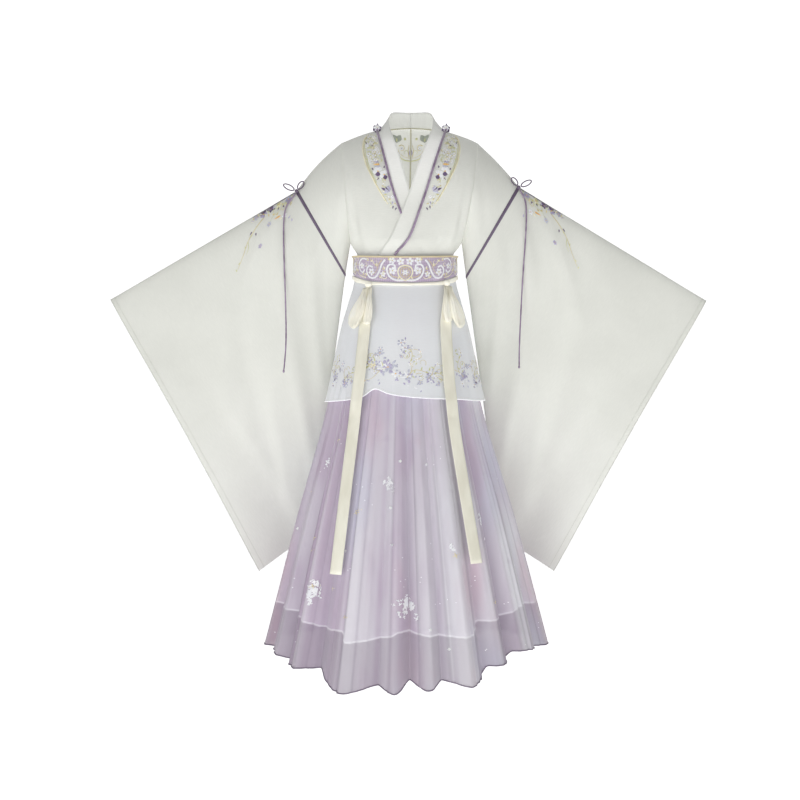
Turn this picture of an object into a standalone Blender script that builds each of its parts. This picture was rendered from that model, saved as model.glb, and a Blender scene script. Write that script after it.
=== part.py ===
"""Ruqun hanfu set: cross-collared top with wide sleeves, belt with a bow tie, overskirt and lined skirt.

The set keeps the hollow form in which it is worn. Metres, +Z up, front towards -Y, and +X at the left hand
of the wearer. The origin lies between the two points where the neckline crosses the shoulders.
"""

import math

import bmesh
import bpy
import numpy as np
from mathutils import Matrix, Vector

for old in list(bpy.data.objects):
    bpy.data.objects.remove(old, do_unlink=True)

# Cloth and seams
WALL = 0.0012
SEAM = 0.0006
OVER_LIFT = 0.0030
TOP_SEAM = 0.0012
FRONT = -1
BACK = 1

# Heights of the top
BODICE_HEM = -0.322
WAIST_TOP = -0.300
ARMPIT = -0.266
SHOULDER_HALF = 0.1585
SHOULDER_DROP = 0.028
SHOULDER_BEND = 1.3
SHOULDER_ROLL = 0.15
ELLIPSE_HEIGHT = 0.05
ARMHOLE_STEPS = 9
ARMHOLE_GAP = 0.0010

# Neckline, and the angles round its back at which the seam's points lie
NECK_MIDDLE = 0.004
NECK_HALF = 0.081
NECK_BACK_DEPTH = 0.062
NECK_BACK_RISE = 0.014
NECK_ANGLES = (90, 72, 52, 30, 8)
BAND_GAP = 0.0006
PIPING_WIDTH = 0.0056
PIPING_WALL = 0.0014
PIPING_LIFT = 0.0014
LIFT = 0.0007

# Sleeves: lens-shaped tubes, half as thick as this at the upper binding and at the cuff
BINDING_HALF = 0.045
CUFF_HALF = 0.023
BINDING_WIDTH = 0.008
BINDING_GAP = 0.0010
LENS_TAPER = 0.28
FOLD_EDGE = 0.0017
KNEE = 0.80

# Waist and skirts
OVERSKIRT_OUT = 0.0022
OVERSKIRT_COLUMNS = 48
OVERSKIRT_WAVE = 0.007
OVERSKIRT_LOWEST = -0.645
WAVES_FROM = -0.36
WAVES_RUN = 0.28
BELT_IN = 0.0031
BELT_WALL = 0.0022
TIE_IN = 0.0031
TIE_WALL = 0.0026
FOLD_START = -0.350
FOLD_FULL = -1.210
FOLD_POWER = 1.1
LINING_AT_WAIST = 0.0021
LINING_BELOW = 0.0046
LINING_SHORT = 0.105

# Ribbons and ties
RIBBON_WIDTH = 0.026
RIBBON_WALL = 0.0014
RIBBON_CLEAR = 0.0030
RIBBON_LEAN = 0.0008
BOW_CLEAR = 0.0068
KNOT_CLEAR = 0.0107
SLEEVE_TIE = 0.0040
BOW_CORD = 0.0026


class Profile:
    """A table of named columns, read against its first column on a smooth curve that never overshoots."""

    def __init__(self, columns, rows):
        data = np.array(sorted(rows), float)
        self.names = columns[1:]
        self.at = data[:, 0]
        self.values = data[:, 1:]
        slope = np.diff(self.values, axis=0) / np.diff(self.at)[:, None]
        self.tangent = np.zeros_like(self.values)
        self.tangent[0] = slope[0]
        self.tangent[-1] = slope[-1]
        for i in range(1, len(data) - 1):
            same = slope[i - 1] * slope[i] > 0
            total = np.where(same, slope[i - 1] + slope[i], 1.0)
            self.tangent[i] = np.where(same, 2 * slope[i - 1] * slope[i] / total, 0.0)

    def read(self, at):
        at = min(max(at, self.at[0]), self.at[-1])
        i = min(max(int(np.searchsorted(self.at, at)) - 1, 0), len(self.at) - 2)
        step = self.at[i + 1] - self.at[i]
        t = (at - self.at[i]) / step
        start, end = self.values[i], self.values[i + 1]
        blend = start * (1 + 2 * t) * (1 - t) ** 2 + end * t * t * (3 - 2 * t)
        bend = self.tangent[i] * t * (1 - t) ** 2 - self.tangent[i + 1] * t * t * (1 - t)
        return dict(zip(self.names, blend + bend * step))


def clamp(value):
    return min(max(value, 0.0), 1.0)


def smooth(value):
    value = clamp(value)
    return value * value * (3 - 2 * value)


def mix(a, b, share):
    return a + (b - a) * share


# Colours of the cloths, with roughness
FINISHES = {
    "gauze": ((0.76, 0.77, 0.72), 0.75),
    "purple_binding": ((0.25, 0.18, 0.26), 0.6),
    "purple_brocade": ((0.38, 0.28, 0.42), 0.6),
    "cream_ribbon": ((0.83, 0.79, 0.60), 0.5),
    "pale_blue_gauze": ((0.66, 0.70, 0.72), 0.75),
    "lilac_chiffon": ((0.55, 0.46, 0.56), 0.7),
    "white_lining": ((0.72, 0.70, 0.73), 0.75),
}
parts = bpy.data.collections.new("RuqunHanfuSet")
bpy.context.scene.collection.children.link(parts)


def material(name, finish):
    colour, roughness = FINISHES[finish]
    made = bpy.data.materials.new(name)
    made.use_nodes = True
    shader = made.node_tree.nodes["Principled BSDF"]
    shader.inputs["Base Color"].default_value = (*colour, 1)
    shader.inputs["Roughness"].default_value = roughness
    shader.inputs["Metallic"].default_value = 0.0
    return made


def add_object(name, data, finish):
    made = bpy.data.objects.new(name, data)
    data.materials.append(material(name, finish))
    parts.objects.link(made)
    return made


def grid(rows, closed):
    """An open surface through rows of points, joined up across each row's ends where it is closed."""
    made = bmesh.new()
    lines = [[made.verts.new(point) for point in row] for row in rows]
    for upper, lower in zip(lines, lines[1:]):
        for i in range(len(upper) if closed else len(upper) - 1):
            j = (i + 1) % len(upper)
            made.faces.new((upper[i], upper[j], lower[j], lower[i]))
    made.normal_update()
    return made


def facing(surface, outside):
    """Positive where a surface's normals lead away from the wearer, which is the way outside(point) goes."""
    total = 0.0
    for face in surface.faces:
        total += face.normal.dot(outside(face.calc_center_median())) * face.calc_area()
    return total


def cloth(name, rows, finish, outside, closed=False, wall=WALL):
    """A wall of cloth whose outer side is the surface through rows."""
    surface = grid(rows, closed)
    if facing(surface, outside) < 0:
        bmesh.ops.reverse_faces(surface, faces=surface.faces[:])
    mesh = bpy.data.meshes.new(name)
    surface.to_mesh(mesh)
    surface.free()
    mesh.shade_smooth()
    made = add_object(name, mesh, finish)
    shell = made.modifiers.new("wall", "SOLIDIFY")
    shell.thickness = wall
    shell.offset = -1
    shell.use_rim = True
    return made


def lifted(rows, distance, outside, closed=False):
    """The same rows of points, moved out along the surface's own normals."""
    surface = grid(rows, closed)
    way = math.copysign(distance, facing(surface, outside))
    surface.verts.ensure_lookup_table()
    moved = iter([vert.co + vert.normal * way for vert in surface.verts])
    out = [[next(moved) for _ in row] for row in rows]
    surface.free()
    return out


def trimmed(rows, first, last):
    """Each row with its first and last points moved inwards along the row, to leave room for a seam."""
    out = []
    for row in rows:
        row = list(row)
        for end, beside, amount in ((0, 1, first), (-1, -2, last)):
            way = row[beside] - row[end]
            if amount and way.length > amount:
                row[end] = row[end] + way.normalized() * amount
        out.append(row)
    return out


def away_from_axis(point):
    return Vector((point.x, point.y, 0.0))


def towards_front(point):
    return Vector((0, -1, 0))


# The top: half width, depths and middle of the body, and half depth of the armhole, at each height
BODY = Profile(
    ("height", "middle", "half_width", "front", "back", "armhole"),
    (
        (-0.400, -0.010, 0.1096, 0.0792, 0.0792, 0.000),
        (-0.300, -0.010, 0.1096, 0.0792, 0.0792, 0.000),
        (-0.290, -0.0095, 0.1130, 0.0830, 0.0820, 0.000),
        (-0.266, -0.008, 0.1300, 0.0970, 0.0890, 0.000),
        (-0.262, -0.0078, 0.1310, 0.0980, 0.0895, 0.010),
        (-0.248, -0.0070, 0.1335, 0.1000, 0.0910, 0.022),
        (-0.200, -0.004, 0.1405, 0.1045, 0.0950, 0.042),
        (-0.120, -0.001, 0.1500, 0.1060, 0.0980, 0.055),
        (-0.028, 0.000, 0.1585, 0.1000, 0.0980, 0.052),
        (0.060, 0.000, 0.1600, 0.0950, 0.0950, 0.050),
    ),
)
# Distance of the collar's seam and of its free edge past the middle line, at each height
NECKLINE = Profile(
    ("height", "seam", "free"),
    (
        (-0.400, -0.045, -0.083),
        (-0.330, -0.043, -0.081),
        (-0.2956, -0.0335, -0.0716),
        (-0.256, -0.001, -0.045),
        (-0.200, 0.0205, -0.0200),
        (-0.150, 0.0379, 0.0000),
        (-0.100, 0.0525, 0.0152),
        (-0.050, 0.0665, 0.0310),
        (0.000, 0.0810, 0.0480),
    ),
)


def shoulder_height(x):
    reach = clamp((abs(x) - NECK_HALF + NECK_MIDDLE) / (SHOULDER_HALF - NECK_HALF + NECK_MIDDLE))
    return -SHOULDER_DROP * reach**SHOULDER_BEND


def body_point(x, z, face):
    """A point of the top's outer surface: an ellipse at the waist, squarer above, rolled at the shoulder."""
    size = BODY.read(z)
    across = clamp(abs(x - size["middle"]) / size["half_width"])
    depth = size["front"] if face == FRONT else size["back"]
    square = smooth((z - WAIST_TOP) / ELLIPSE_HEIGHT)
    bulge = (1 - across ** mix(2.0, 2.3, square)) ** mix(0.5, 0.55, square)
    y = size["armhole"] + (depth - size["armhole"]) * bulge
    top = shoulder_height(x)
    top_y = 0.0
    if face == BACK:
        inside = clamp(1 - ((x - NECK_MIDDLE) / NECK_HALF) ** 2)
        top = top + NECK_BACK_RISE * inside
        top_y = NECK_BACK_DEPTH * inside**0.5
    roll = 1 - clamp((top - z) / SHOULDER_ROLL)
    y = top_y + (y - top_y) * math.sqrt(1 - roll * roll)
    return Vector((x, face * y, z))


def side_point(share, side, face, out=0.0):
    """A point on the side seam or armhole, at a share of the way from the hem up to the shoulder."""
    x = side * 0.15
    for _ in range(8):
        z = BODICE_HEM + share * (shoulder_height(x) - BODICE_HEM)
        size = BODY.read(z)
        x = size["middle"] + side * size["half_width"]
    point = body_point(x, z, face)
    point.x += side * out
    return point


def neck_shift(z):
    return NECK_MIDDLE * smooth(1 + z / 0.15)


def over_lift(x, z, side):
    """How far the upper front stands off the lower one: nothing at its own side seam and shoulder."""
    size = BODY.read(z)
    across = (x - size["middle"]) / size["half_width"] * side
    return OVER_LIFT * smooth((1 - across) / 0.12) * smooth(-z / 0.06)


def chest_point(x, z, lift):
    """A point of the front, moved out along the front's normal."""
    step = 0.002
    here = body_point(x, z, FRONT)
    if lift == 0:
        return here
    right = body_point(x + step, z, FRONT) - body_point(x - step, z, FRONT)
    up = here - body_point(x, z - step, FRONT)
    normal = right.cross(up)
    return here + normal.normalized() * lift


ARMPIT_SHARE = (ARMPIT - BODICE_HEM) / (-SHOULDER_DROP - BODICE_HEM)
ARMHOLE_STEP_SHARES = [(1 - math.cos(math.pi * k / ARMHOLE_STEPS)) / 2 for k in range(ARMHOLE_STEPS + 1)]
LOW_SHARES = [0.0, (WAIST_TOP - BODICE_HEM) / (-SHOULDER_DROP - BODICE_HEM)]
PANEL_SHARES = LOW_SHARES + [1 - v * (1 - ARMPIT_SHARE) for v in reversed(ARMHOLE_STEP_SHARES)]
PANEL_COLUMNS = 6


def seam_height(share):
    """The height at which a panel's row meets the collar seam; the seam reaches the shoulder at height 0."""
    return BODICE_HEM * (1 - share)


def front_panel(side, over):
    rows = []
    for share in PANEL_SHARES:
        z_seam = seam_height(share)
        x_seam = side * NECKLINE.read(z_seam)["seam"] + neck_shift(z_seam)
        x_side = side_point(share, side, FRONT).x
        row = []
        for k in range(PANEL_COLUMNS + 1):
            x = mix(x_seam, x_side, math.sin(math.pi / 2 * k / PANEL_COLUMNS))
            z = BODICE_HEM + share * (shoulder_height(x) - BODICE_HEM)
            if k == PANEL_COLUMNS:
                row.append(side_point(share, side, FRONT))
            else:
                row.append(chest_point(x, z, over_lift(x, z, side) if over else 0.0))
        rows.append(row)
    rows = trimmed(rows, BAND_GAP / 2, 0.0)
    return [shifted_row(row, FRONT) for row in rows]


def shifted_row(row, face):
    """A row moved half a seam towards its own face, so that front and back part at sides and shoulders."""
    return [point + Vector((0, face * TOP_SEAM / 2, 0)) for point in row]


def back_panel(side):
    reach = side_point(1.0, side, BACK).x - NECK_MIDDLE
    across_shares = [NECK_HALF * math.cos(math.radians(angle)) / abs(reach) for angle in NECK_ANGLES]
    across_shares += [0.72, 0.90, 1.0]
    rows = []
    for share in PANEL_SHARES:
        x_side = side_point(share, side, BACK).x
        middle = mix(BODY.read(seam_height(share))["middle"], NECK_MIDDLE, smooth(share))
        row = []
        for across in across_shares:
            x = mix(middle, x_side, across)
            rise = NECK_BACK_RISE * clamp(1 - ((x - NECK_MIDDLE) / NECK_HALF) ** 2)
            z = BODICE_HEM + share * (shoulder_height(x) + rise - BODICE_HEM)
            if across == 1.0:
                row.append(side_point(share, side, BACK))
            else:
                row.append(body_point(x, z, BACK))
        rows.append(row)
    rows = trimmed(rows, SEAM / 2, 0.0)
    return [shifted_row(row, BACK) for row in rows]


cloth("front_over", front_panel(1, True), "gauze", towards_front)
cloth("front_under", front_panel(-1, False), "gauze", towards_front)
cloth("back_left", back_panel(1), "gauze", away_from_axis)
cloth("back_right", back_panel(-1), "gauze", away_from_axis)

# Collar round the neck: angle of the seam from the shoulder to the centre back, and the free edge's place
NECK_BACK = (
    # angle, free x, free y, free z
    (8, 0.0520, 0.006, 0.029),
    (30, 0.0500, 0.023, 0.043),
    (52, 0.0410, 0.037, 0.0510),
    (72, 0.0230, 0.046, 0.0525),
    (90, 0.0000, 0.0495, 0.0525),
)
# The free edge where the band lifts off the chest, against the seam's height
NECK_SIDE = Profile(
    ("seam_height", "free_x", "free_y", "free_z", "standing"),
    (
        (-0.080, 0.0250, -0.080, -0.076, 0.0),
        (-0.050, 0.0330, -0.066, -0.045, 0.5),
        (-0.028, 0.0420, -0.046, -0.018, 1.0),
        (-0.010, 0.0495, -0.022, 0.006, 1.0),
        (0.000, 0.0515, -0.006, 0.020, 1.0),
    ),
)
BAND_COLUMNS = 3


def band_rows(side, over):
    """The collar band from its end under the belt up to the centre back."""
    rows = []
    for share in PANEL_SHARES:
        z = seam_height(share)
        edge = NECKLINE.read(z)
        shift = neck_shift(z)
        x_seam = side * (edge["seam"] - BAND_GAP / 2) + shift
        x_free = side * edge["free"] + shift
        stand = NECK_SIDE.read(z) if z > -0.080 else None
        row = []
        for k in range(BAND_COLUMNS + 1):
            share_in = k / BAND_COLUMNS
            x = mix(x_seam, x_free, share_in)
            point = chest_point(x, z, over_lift(x, z, side) if over else 0.0)
            if stand:
                start = chest_point(x_seam, z, over_lift(x_seam, z, side) if over else 0.0)
                free = Vector((side * stand["free_x"] + shift, stand["free_y"], stand["free_z"]))
                point = mix(point, mix(start, free, share_in), stand["standing"])
            row.append(point)
        rows.append(row)
    for angle, x, y, z in NECK_BACK:
        turn = math.radians(angle)
        seam = Vector((
            side * (NECK_HALF - BAND_GAP / 2) * math.cos(turn) + NECK_MIDDLE,
            (NECK_BACK_DEPTH - BAND_GAP / 2) * math.sin(turn),
            NECK_BACK_RISE * math.sin(turn) ** 2 + 2 * BAND_GAP,
        ))
        free = Vector((side * x + NECK_MIDDLE, y, z))
        row = [mix(seam, free, k / BAND_COLUMNS) for k in range(BAND_COLUMNS + 1)]
        rows.append(row)
    last = rows[-1]
    rows[-1] = [point + Vector((side * SEAM / 2, 0, 0)) for point in last]
    return rows


def away_from_neck(point):
    return Vector((point.x - NECK_MIDDLE, point.y, 0)) if point.z > -0.02 else Vector((0, -1, 0))


cloth("collar_over", band_rows(1, True), "gauze", away_from_neck)
cloth("collar_under", band_rows(-1, False), "gauze", away_from_neck)


def piping_rows(side, over, lowest):
    """The purple strip over a collar seam, from a lowest height up to the shoulder."""
    rows = []
    for share in (*PANEL_SHARES[:-1], PIPING_TOP):
        z = seam_height(share)
        if z < lowest:
            continue
        seam = side * NECKLINE.read(z)["seam"] + neck_shift(z)
        row = []
        for way in (-0.5, 0.5):
            x = seam + side * way * PIPING_WIDTH
            under = over_lift(x, z, side) if over else 0.0
            row.append(chest_point(x, z, under + PIPING_LIFT + PIPING_WALL))
        rows.append(row)
    return rows


# The upper piping runs down to the belt, the lower one to where the upper front covers it
PIPING_TOP = 0.99
PIPING_OVER_LOWEST = -0.270
PIPING_UNDER_LOWEST = -0.205
over_piping = piping_rows(1, True, PIPING_OVER_LOWEST)
under_piping = piping_rows(-1, False, PIPING_UNDER_LOWEST)
cloth("piping_over", over_piping, "purple_binding", towards_front, wall=PIPING_WALL)
cloth("piping_under", under_piping, "purple_binding", towards_front, wall=PIPING_WALL)

# Sleeve corners, for the sleeve on each side: x is the distance from the middle line
SLEEVES = {
    -1: {
        "binding_top": Vector((-0.265, 0.0, -0.1405)),
        "binding_bottom": Vector((-0.150, 0.0, -0.336)),
        "cuff_top": Vector((-0.702, 0.0, -0.3956)),
        "cuff_bottom": Vector((-0.3600, 0.065, -1.0455)),
        "inner_bottom": Vector((-0.2430, 0.150, -0.9700)),
    },
    1: {
        "binding_top": Vector((0.2570, 0.0, -0.1310)),
        "binding_bottom": Vector((0.1330, 0.0, -0.3405)),
        "cuff_top": Vector((0.6975, 0.0, -0.3986)),
        "cuff_bottom": Vector((0.3475, 0.065, -1.0455)),
        "inner_bottom": Vector((0.2310, 0.150, -0.9810)),
    },
}
# How far behind the middle plane the sleeve's lower edge lies, so that it passes behind the skirt
LOWER_EDGE = Profile(
    ("along", "back", "half"),
    (
        (0.0, 0.000, BINDING_HALF),
        (0.10, 0.022, 0.042),
        (0.20, 0.045, 0.038),
        (0.40, 0.090, 0.032),
        (KNEE, 0.150, 0.024),
        (1.0, 0.065, CUFF_HALF),
    ),
)
# Soft folds of the sleeve, as ridges across it: start and end as (along, down), half width and height
SLEEVE_FOLDS = (
    # along, down, along, down, half width, height
    (0.02, 0.10, 0.62, 0.98, 0.050, 0.010),
    (0.05, 0.05, 0.95, 0.55, 0.045, 0.007),
    (0.02, 0.45, 0.40, 1.00, 0.045, 0.008),
    (0.35, 0.02, 0.90, 0.96, 0.055, -0.006),
)
SLEEVE_SECTIONS = (0.0, 0.07, 0.16, 0.28, 0.42, 0.56, 0.69, KNEE, 0.87, 0.94, 1.0)
UPPER_SECTIONS = (0.0, 0.33, 0.67, 1.0)


def lens(down):
    """Share of the full half thickness at a place down the sleeve: round at both folds, fuller above."""
    return max(4 * down * (1 - down), 0.0) ** 0.5 * (1 - LENS_TAPER * down)


def fold_height(along, down):
    total = 0.0
    for a0, d0, a1, d1, width, height in SLEEVE_FOLDS:
        run = ((a1 - a0) ** 2 + (d1 - d0) ** 2) ** 0.5
        past = ((along - a0) * (a1 - a0) + (down - d0) * (d1 - d0)) / run
        aside = ((along - a0) * (d1 - d0) - (down - d0) * (a1 - a0)) / run
        taper = smooth(past / (0.3 * run)) * smooth((1.15 * run - past) / (0.3 * run))
        total += height * taper * math.exp(-((aside / width) ** 2))
    return total


def sleeve_point(side, along, down, face):
    """A point of the wide sleeve: along it from binding to cuff, and down it from its top fold."""
    corner = SLEEVES[side]
    top = mix(corner["binding_top"], corner["cuff_top"], along)
    if along < KNEE:
        bottom = mix(corner["binding_bottom"], corner["inner_bottom"], along / KNEE)
    else:
        bottom = mix(corner["inner_bottom"], corner["cuff_bottom"], (along - KNEE) / (1 - KNEE))
    size = LOWER_EDGE.read(along)
    middle = mix(top, bottom, down)
    middle.y = size["back"] * down**1.4
    half = FOLD_EDGE + (size["half"] - face * fold_height(along, down)) * lens(down)
    return middle + Vector((0, face * half, 0))


def upper_sleeve_point(side, along, down, face):
    """A point of the upper sleeve, from the armhole to the binding, rounded over the shoulder."""
    share = 1 - down * (1 - ARMPIT_SHARE)
    start = side_point(share, side, face, ARMHOLE_GAP) + Vector((0, face * FOLD_EDGE, 0))
    end = sleeve_point(side, 0.0, down, face)
    crown = Vector((side * 0.006, 0, 0.011)) * math.sin(math.pi * along) * (1 - down) ** 2
    return mix(start, end, along) + crown


def half_rows(point_at, side, sections, face):
    """The front or the back half of a sleeve, each row from the top fold down to the lower edge."""
    return [[point_at(side, along, v, face) for v in ARMHOLE_STEP_SHARES] for along in sections]


def loops(point_at, side, sections):
    """Closed loops round a sleeve, down its front and up its back."""
    fronts = half_rows(point_at, side, sections, FRONT)
    backs = half_rows(point_at, side, sections, BACK)
    return [front + back[::-1] for front, back in zip(fronts, backs)]


# About how far back the sleeve's middle surface lies at its foot, and how that grows on the way down
MIDDLE_BACK = 0.12
MIDDLE_BEND = 1.6


def sleeve_outside(side):
    """The way out of a sleeve: from its middle surface, towards the side on which the point lies."""
    corner = SLEEVES[side]

    def outside(point):
        top = corner["binding_top"]
        share = clamp((top.z - point.z) / (top.z - corner["inner_bottom"].z))
        return Vector((0, point.y - MIDDLE_BACK * share**MIDDLE_BEND, 0))

    return outside


def sections_from(first, last, sections):
    return [first + (last - first) * s for s in sections]


def towards_back(point):
    return Vector((0, 1, 0))


# Each sleeve is cut in one and folded along its top: its front and back are a node each, and meet at the fold
SIDE_NAMES = {-1: "right", 1: "left"}
HALVES = (("front_", FRONT, towards_front), ("back_", BACK, towards_back))
for side, word in SIDE_NAMES.items():
    corner = SLEEVES[side]
    upper_length = (side_point(1.0, side, FRONT) - corner["binding_top"]).length
    lower_length = (corner["cuff_top"] - corner["binding_top"]).length
    upper_sections = sections_from(0.0, 1 - BINDING_GAP / upper_length, UPPER_SECTIONS)
    wide_sections = sections_from(BINDING_GAP / lower_length, 1.0, SLEEVE_SECTIONS)
    for half, face, outside in HALVES:
        upper = half_rows(upper_sleeve_point, side, upper_sections, face)
        cloth("upper_sleeve_" + half + word, upper, "gauze", outside)
        wide = half_rows(sleeve_point, side, wide_sections, face)
        cloth("sleeve_" + half + word, wide, "gauze", outside)
    before = loops(upper_sleeve_point, side, (1 - BINDING_WIDTH / 2 / upper_length, 1.0))
    after = loops(sleeve_point, side, (BINDING_WIDTH / 2 / lower_length,))
    ring = lifted(before + after, WALL + LIFT, sleeve_outside(side), closed=True)
    cloth("sleeve_binding_" + word, ring, "purple_binding", sleeve_outside(side), closed=True)

# Skirts: middle, half width and half depth of the skirt's mean surface at each height
HIPS = Profile(
    ("height", "middle", "half_width", "half_depth"),
    (
        (-0.290, -0.0100, 0.1172, 0.0872),
        (-0.350, -0.0100, 0.1174, 0.0875),
        (-0.400, -0.0105, 0.1290, 0.0995),
        (-0.460, -0.0110, 0.1450, 0.1150),
        (-0.635, -0.0115, 0.1770, 0.1440),
        (-0.900, -0.0095, 0.2480, 0.2030),
        (-1.200, -0.0080, 0.3230, 0.2650),
        (-1.260, -0.0080, 0.3380, 0.2770),
    ),
)
# Folds all round, from the front middle towards the left hand: each row is a trough and the ridge after it
FOLDS = (
    # trough angle, trough depth, ridge height
    (-90, 0.014, 0.011),
    (-72, 0.013, 0.010),
    (-57, 0.018, 0.012),
    (-38, 0.020, 0.015),
    (-11, 0.014, 0.012),
    (1.3, 0.030, 0.012),
    (14, 0.018, 0.013),
    (33, 0.030, 0.009),
    (47, 0.024, 0.011),
    (68, 0.014, 0.011),
    (90, 0.016, 0.012),
    (107, 0.020, 0.011),
    (123, 0.016, 0.013),
    (142, 0.022, 0.012),
    (158, 0.018, 0.012),
    (177, 0.026, 0.012),
    (194, 0.018, 0.013),
    (211, 0.020, 0.011),
    (227, 0.016, 0.012),
    (243, 0.020, 0.011),
    (257, 0.016, 0.010),
    (270, 0.014, 0.011),
)
FOLD_STEPS = 4
RIDGE_MOST = max(row[2] for row in FOLDS)
# Height of the skirt's hem, round the front
SKIRT_HEM = Profile(
    ("angle", "height"),
    (
        (-180, -1.222), (-130, -1.215), (-90, -1.198), (-70, -1.193), (-57, -1.207), (-46, -1.214),
        (-37, -1.212), (-31, -1.236), (-23, -1.250), (-11, -1.235), (-4, -1.247), (1.3, -1.226),
        (7.6, -1.241), (14, -1.226), (25, -1.238), (32, -1.232), (35, -1.205), (46, -1.200),
        (50, -1.184), (62, -1.186), (78, -1.194), (90, -1.198), (130, -1.215), (180, -1.222),
    ),
)
# Height of the overskirt's hem, round the front
OVERSKIRT_HEM = Profile(
    ("angle", "height"),
    (
        (-180, -0.640), (-90, -0.637), (-70, -0.634), (-45, -0.628), (-32, -0.620), (-22, -0.602),
        (-12, -0.612), (0, -0.618), (15, -0.622), (40, -0.626), (70, -0.632), (90, -0.633), (180, -0.640),
    ),
)
# Shares of the way from waist to hem, the same on skirt and lining so that they lie evenly on each other
SKIRT_ROWS = (0.0, 0.064, 0.108, 0.170, 0.32, 0.57, 0.82, 1.0)
OVERSKIRT_HEIGHTS = (-0.300, -0.360, -0.400, -0.460, -0.550)


def front_angle(angle):
    return (angle + 180) % 360 - 180


def skirt_height(angle, share):
    hem = SKIRT_HEM.read(front_angle(angle))["height"]
    return mix(WAIST_TOP, hem, share)


def fold_growth(z):
    return clamp((FOLD_START - z) / (FOLD_START - FOLD_FULL)) ** FOLD_POWER


def fold_out(angle):
    """How far the skirt's cloth stands out at an angle, at full fold: sharp troughs and round ridges."""
    for here, after in zip(FOLDS, FOLDS[1:]):
        if here[0] <= angle <= after[0]:
            share = (angle - here[0]) / (after[0] - here[0])
            low = mix(-here[1], -after[1], share)
            middle = (here[1] + after[1]) / 2
            return low + (here[2] + middle) * math.sin(math.pi * share)
    return 0.0


def ring_point(angle, z, out):
    """A point at an angle round the hips, a distance outside the skirt's mean surface."""
    size = HIPS.read(z)
    turn = math.radians(angle)
    x = size["middle"] + (size["half_width"] + out) * math.sin(turn)
    return Vector((x, -(size["half_depth"] + out) * math.cos(turn), z))


def skirt_point(angle, z, inside=0.0):
    return ring_point(angle, z, fold_out(angle) * fold_growth(z) - inside)


def lining_inside(z):
    return mix(LINING_AT_WAIST, LINING_BELOW, smooth((FOLD_START - z) / 0.1))


def fold_angles(first, last):
    troughs = [row[0] for row in FOLDS if first <= row[0] <= last]
    angles = []
    for here, after in zip(troughs, troughs[1:]):
        angles += [mix(here, after, k / FOLD_STEPS) for k in range(FOLD_STEPS)]
    return angles + [troughs[-1]]


def skirt_rows(first, last, lining):
    rows = []
    for share in SKIRT_ROWS:
        row = []
        for angle in fold_angles(first, last):
            z = skirt_height(angle, share)
            if lining and share == 1.0:
                z = skirt_height(angle, 1.0) + LINING_SHORT
            row.append(skirt_point(angle, z, lining_inside(z) if lining else 0.0))
        rows.append(row)
    return trimmed(rows, SEAM / 2, SEAM / 2)


def overskirt_out(angle, z):
    """The overskirt clears the skirt's ridges and hangs in a few low waves of its own."""
    turn = math.radians(angle)
    wave = 0.5 + 0.3 * math.sin(5 * turn + 0.6) + 0.2 * math.sin(9 * turn + 2.1)
    drop = clamp((WAVES_FROM - z) / WAVES_RUN)
    return OVERSKIRT_OUT + RIDGE_MOST * fold_growth(z) + OVERSKIRT_WAVE * wave * drop**1.5


def overskirt_rows(first, last):
    rows = []
    count = OVERSKIRT_COLUMNS // 2
    for z in (*OVERSKIRT_HEIGHTS, None):
        row = []
        for k in range(count + 1):
            angle = mix(first, last, k / count)
            height = OVERSKIRT_HEM.read(front_angle(angle))["height"] if z is None else z
            row.append(ring_point(angle, height, overskirt_out(angle, height)))
        rows.append(row)
    return trimmed(rows, SEAM / 2, SEAM / 2)


for half, first, last in (("front", -90, 90), ("back", 90, 270)):
    cloth("skirt_" + half, skirt_rows(first, last, False), "lilac_chiffon", away_from_axis)
    cloth("lining_" + half, skirt_rows(first, last, True), "white_lining", away_from_axis)
    cloth("overskirt_" + half, overskirt_rows(first, last), "pale_blue_gauze", away_from_axis)

# Belt: its top and bottom edges dip at the front, and the bottom dips more
BELT = Profile(
    ("angle", "top", "bottom"),
    (
        (-180, -0.294, -0.337), (-90, -0.294, -0.337), (-60, -0.2955, -0.347), (-35, -0.298, -0.356),
        (0, -0.2995, -0.359), (35, -0.298, -0.356), (60, -0.2955, -0.347), (90, -0.294, -0.337),
        (180, -0.294, -0.337),
    ),
)
BELT_PIPING = 0.0042
TIE_GAP = 0.0012
TIE_HEIGHT = Profile(
    ("angle", "height"),
    ((-180, 0.012), (-90, 0.013), (-55, 0.011), (-25, 0.0075), (0, 0.0070), (25, 0.0075), (55, 0.011),
     (90, 0.013), (180, 0.012)),
)


def around(place):
    """Rows round the waist, closed: place(angle) gives the heights and the distance out of each row."""
    columns = [360 * k / OVERSKIRT_COLUMNS for k in range(OVERSKIRT_COLUMNS)]
    lines = [place(angle) for angle in columns]
    return [[ring_point(a, z, out) for a, (z, out) in zip(columns, row)] for row in zip(*lines)]


def belt_edges(angle):
    edge = BELT.read(front_angle(angle))
    out = BELT_IN + BELT_WALL
    return (edge["top"], out), (edge["bottom"], out)


def belt_piping_edges(angle):
    edge = BELT.read(front_angle(angle))
    out = BELT_IN + BELT_WALL + LIFT + PIPING_WALL
    return (edge["top"] + 0.0004, out), (edge["top"] - BELT_PIPING, out)


def tie_edges(angle):
    edge = BELT.read(front_angle(angle))["bottom"] - TIE_GAP
    low = edge - TIE_HEIGHT.read(front_angle(angle))["height"]
    clear = TIE_WALL + TIE_IN
    return (edge, clear), (mix(edge, low, 0.5), clear + 0.0012), (low, clear + 0.0004)


cloth("belt", around(belt_edges), "purple_brocade", away_from_axis, closed=True, wall=BELT_WALL)
cloth("belt_piping", around(belt_piping_edges), "cream_ribbon", away_from_axis, closed=True, wall=PIPING_WALL)
cloth("waist_tie", around(tie_edges), "cream_ribbon", away_from_axis, closed=True, wall=TIE_WALL)


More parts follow.
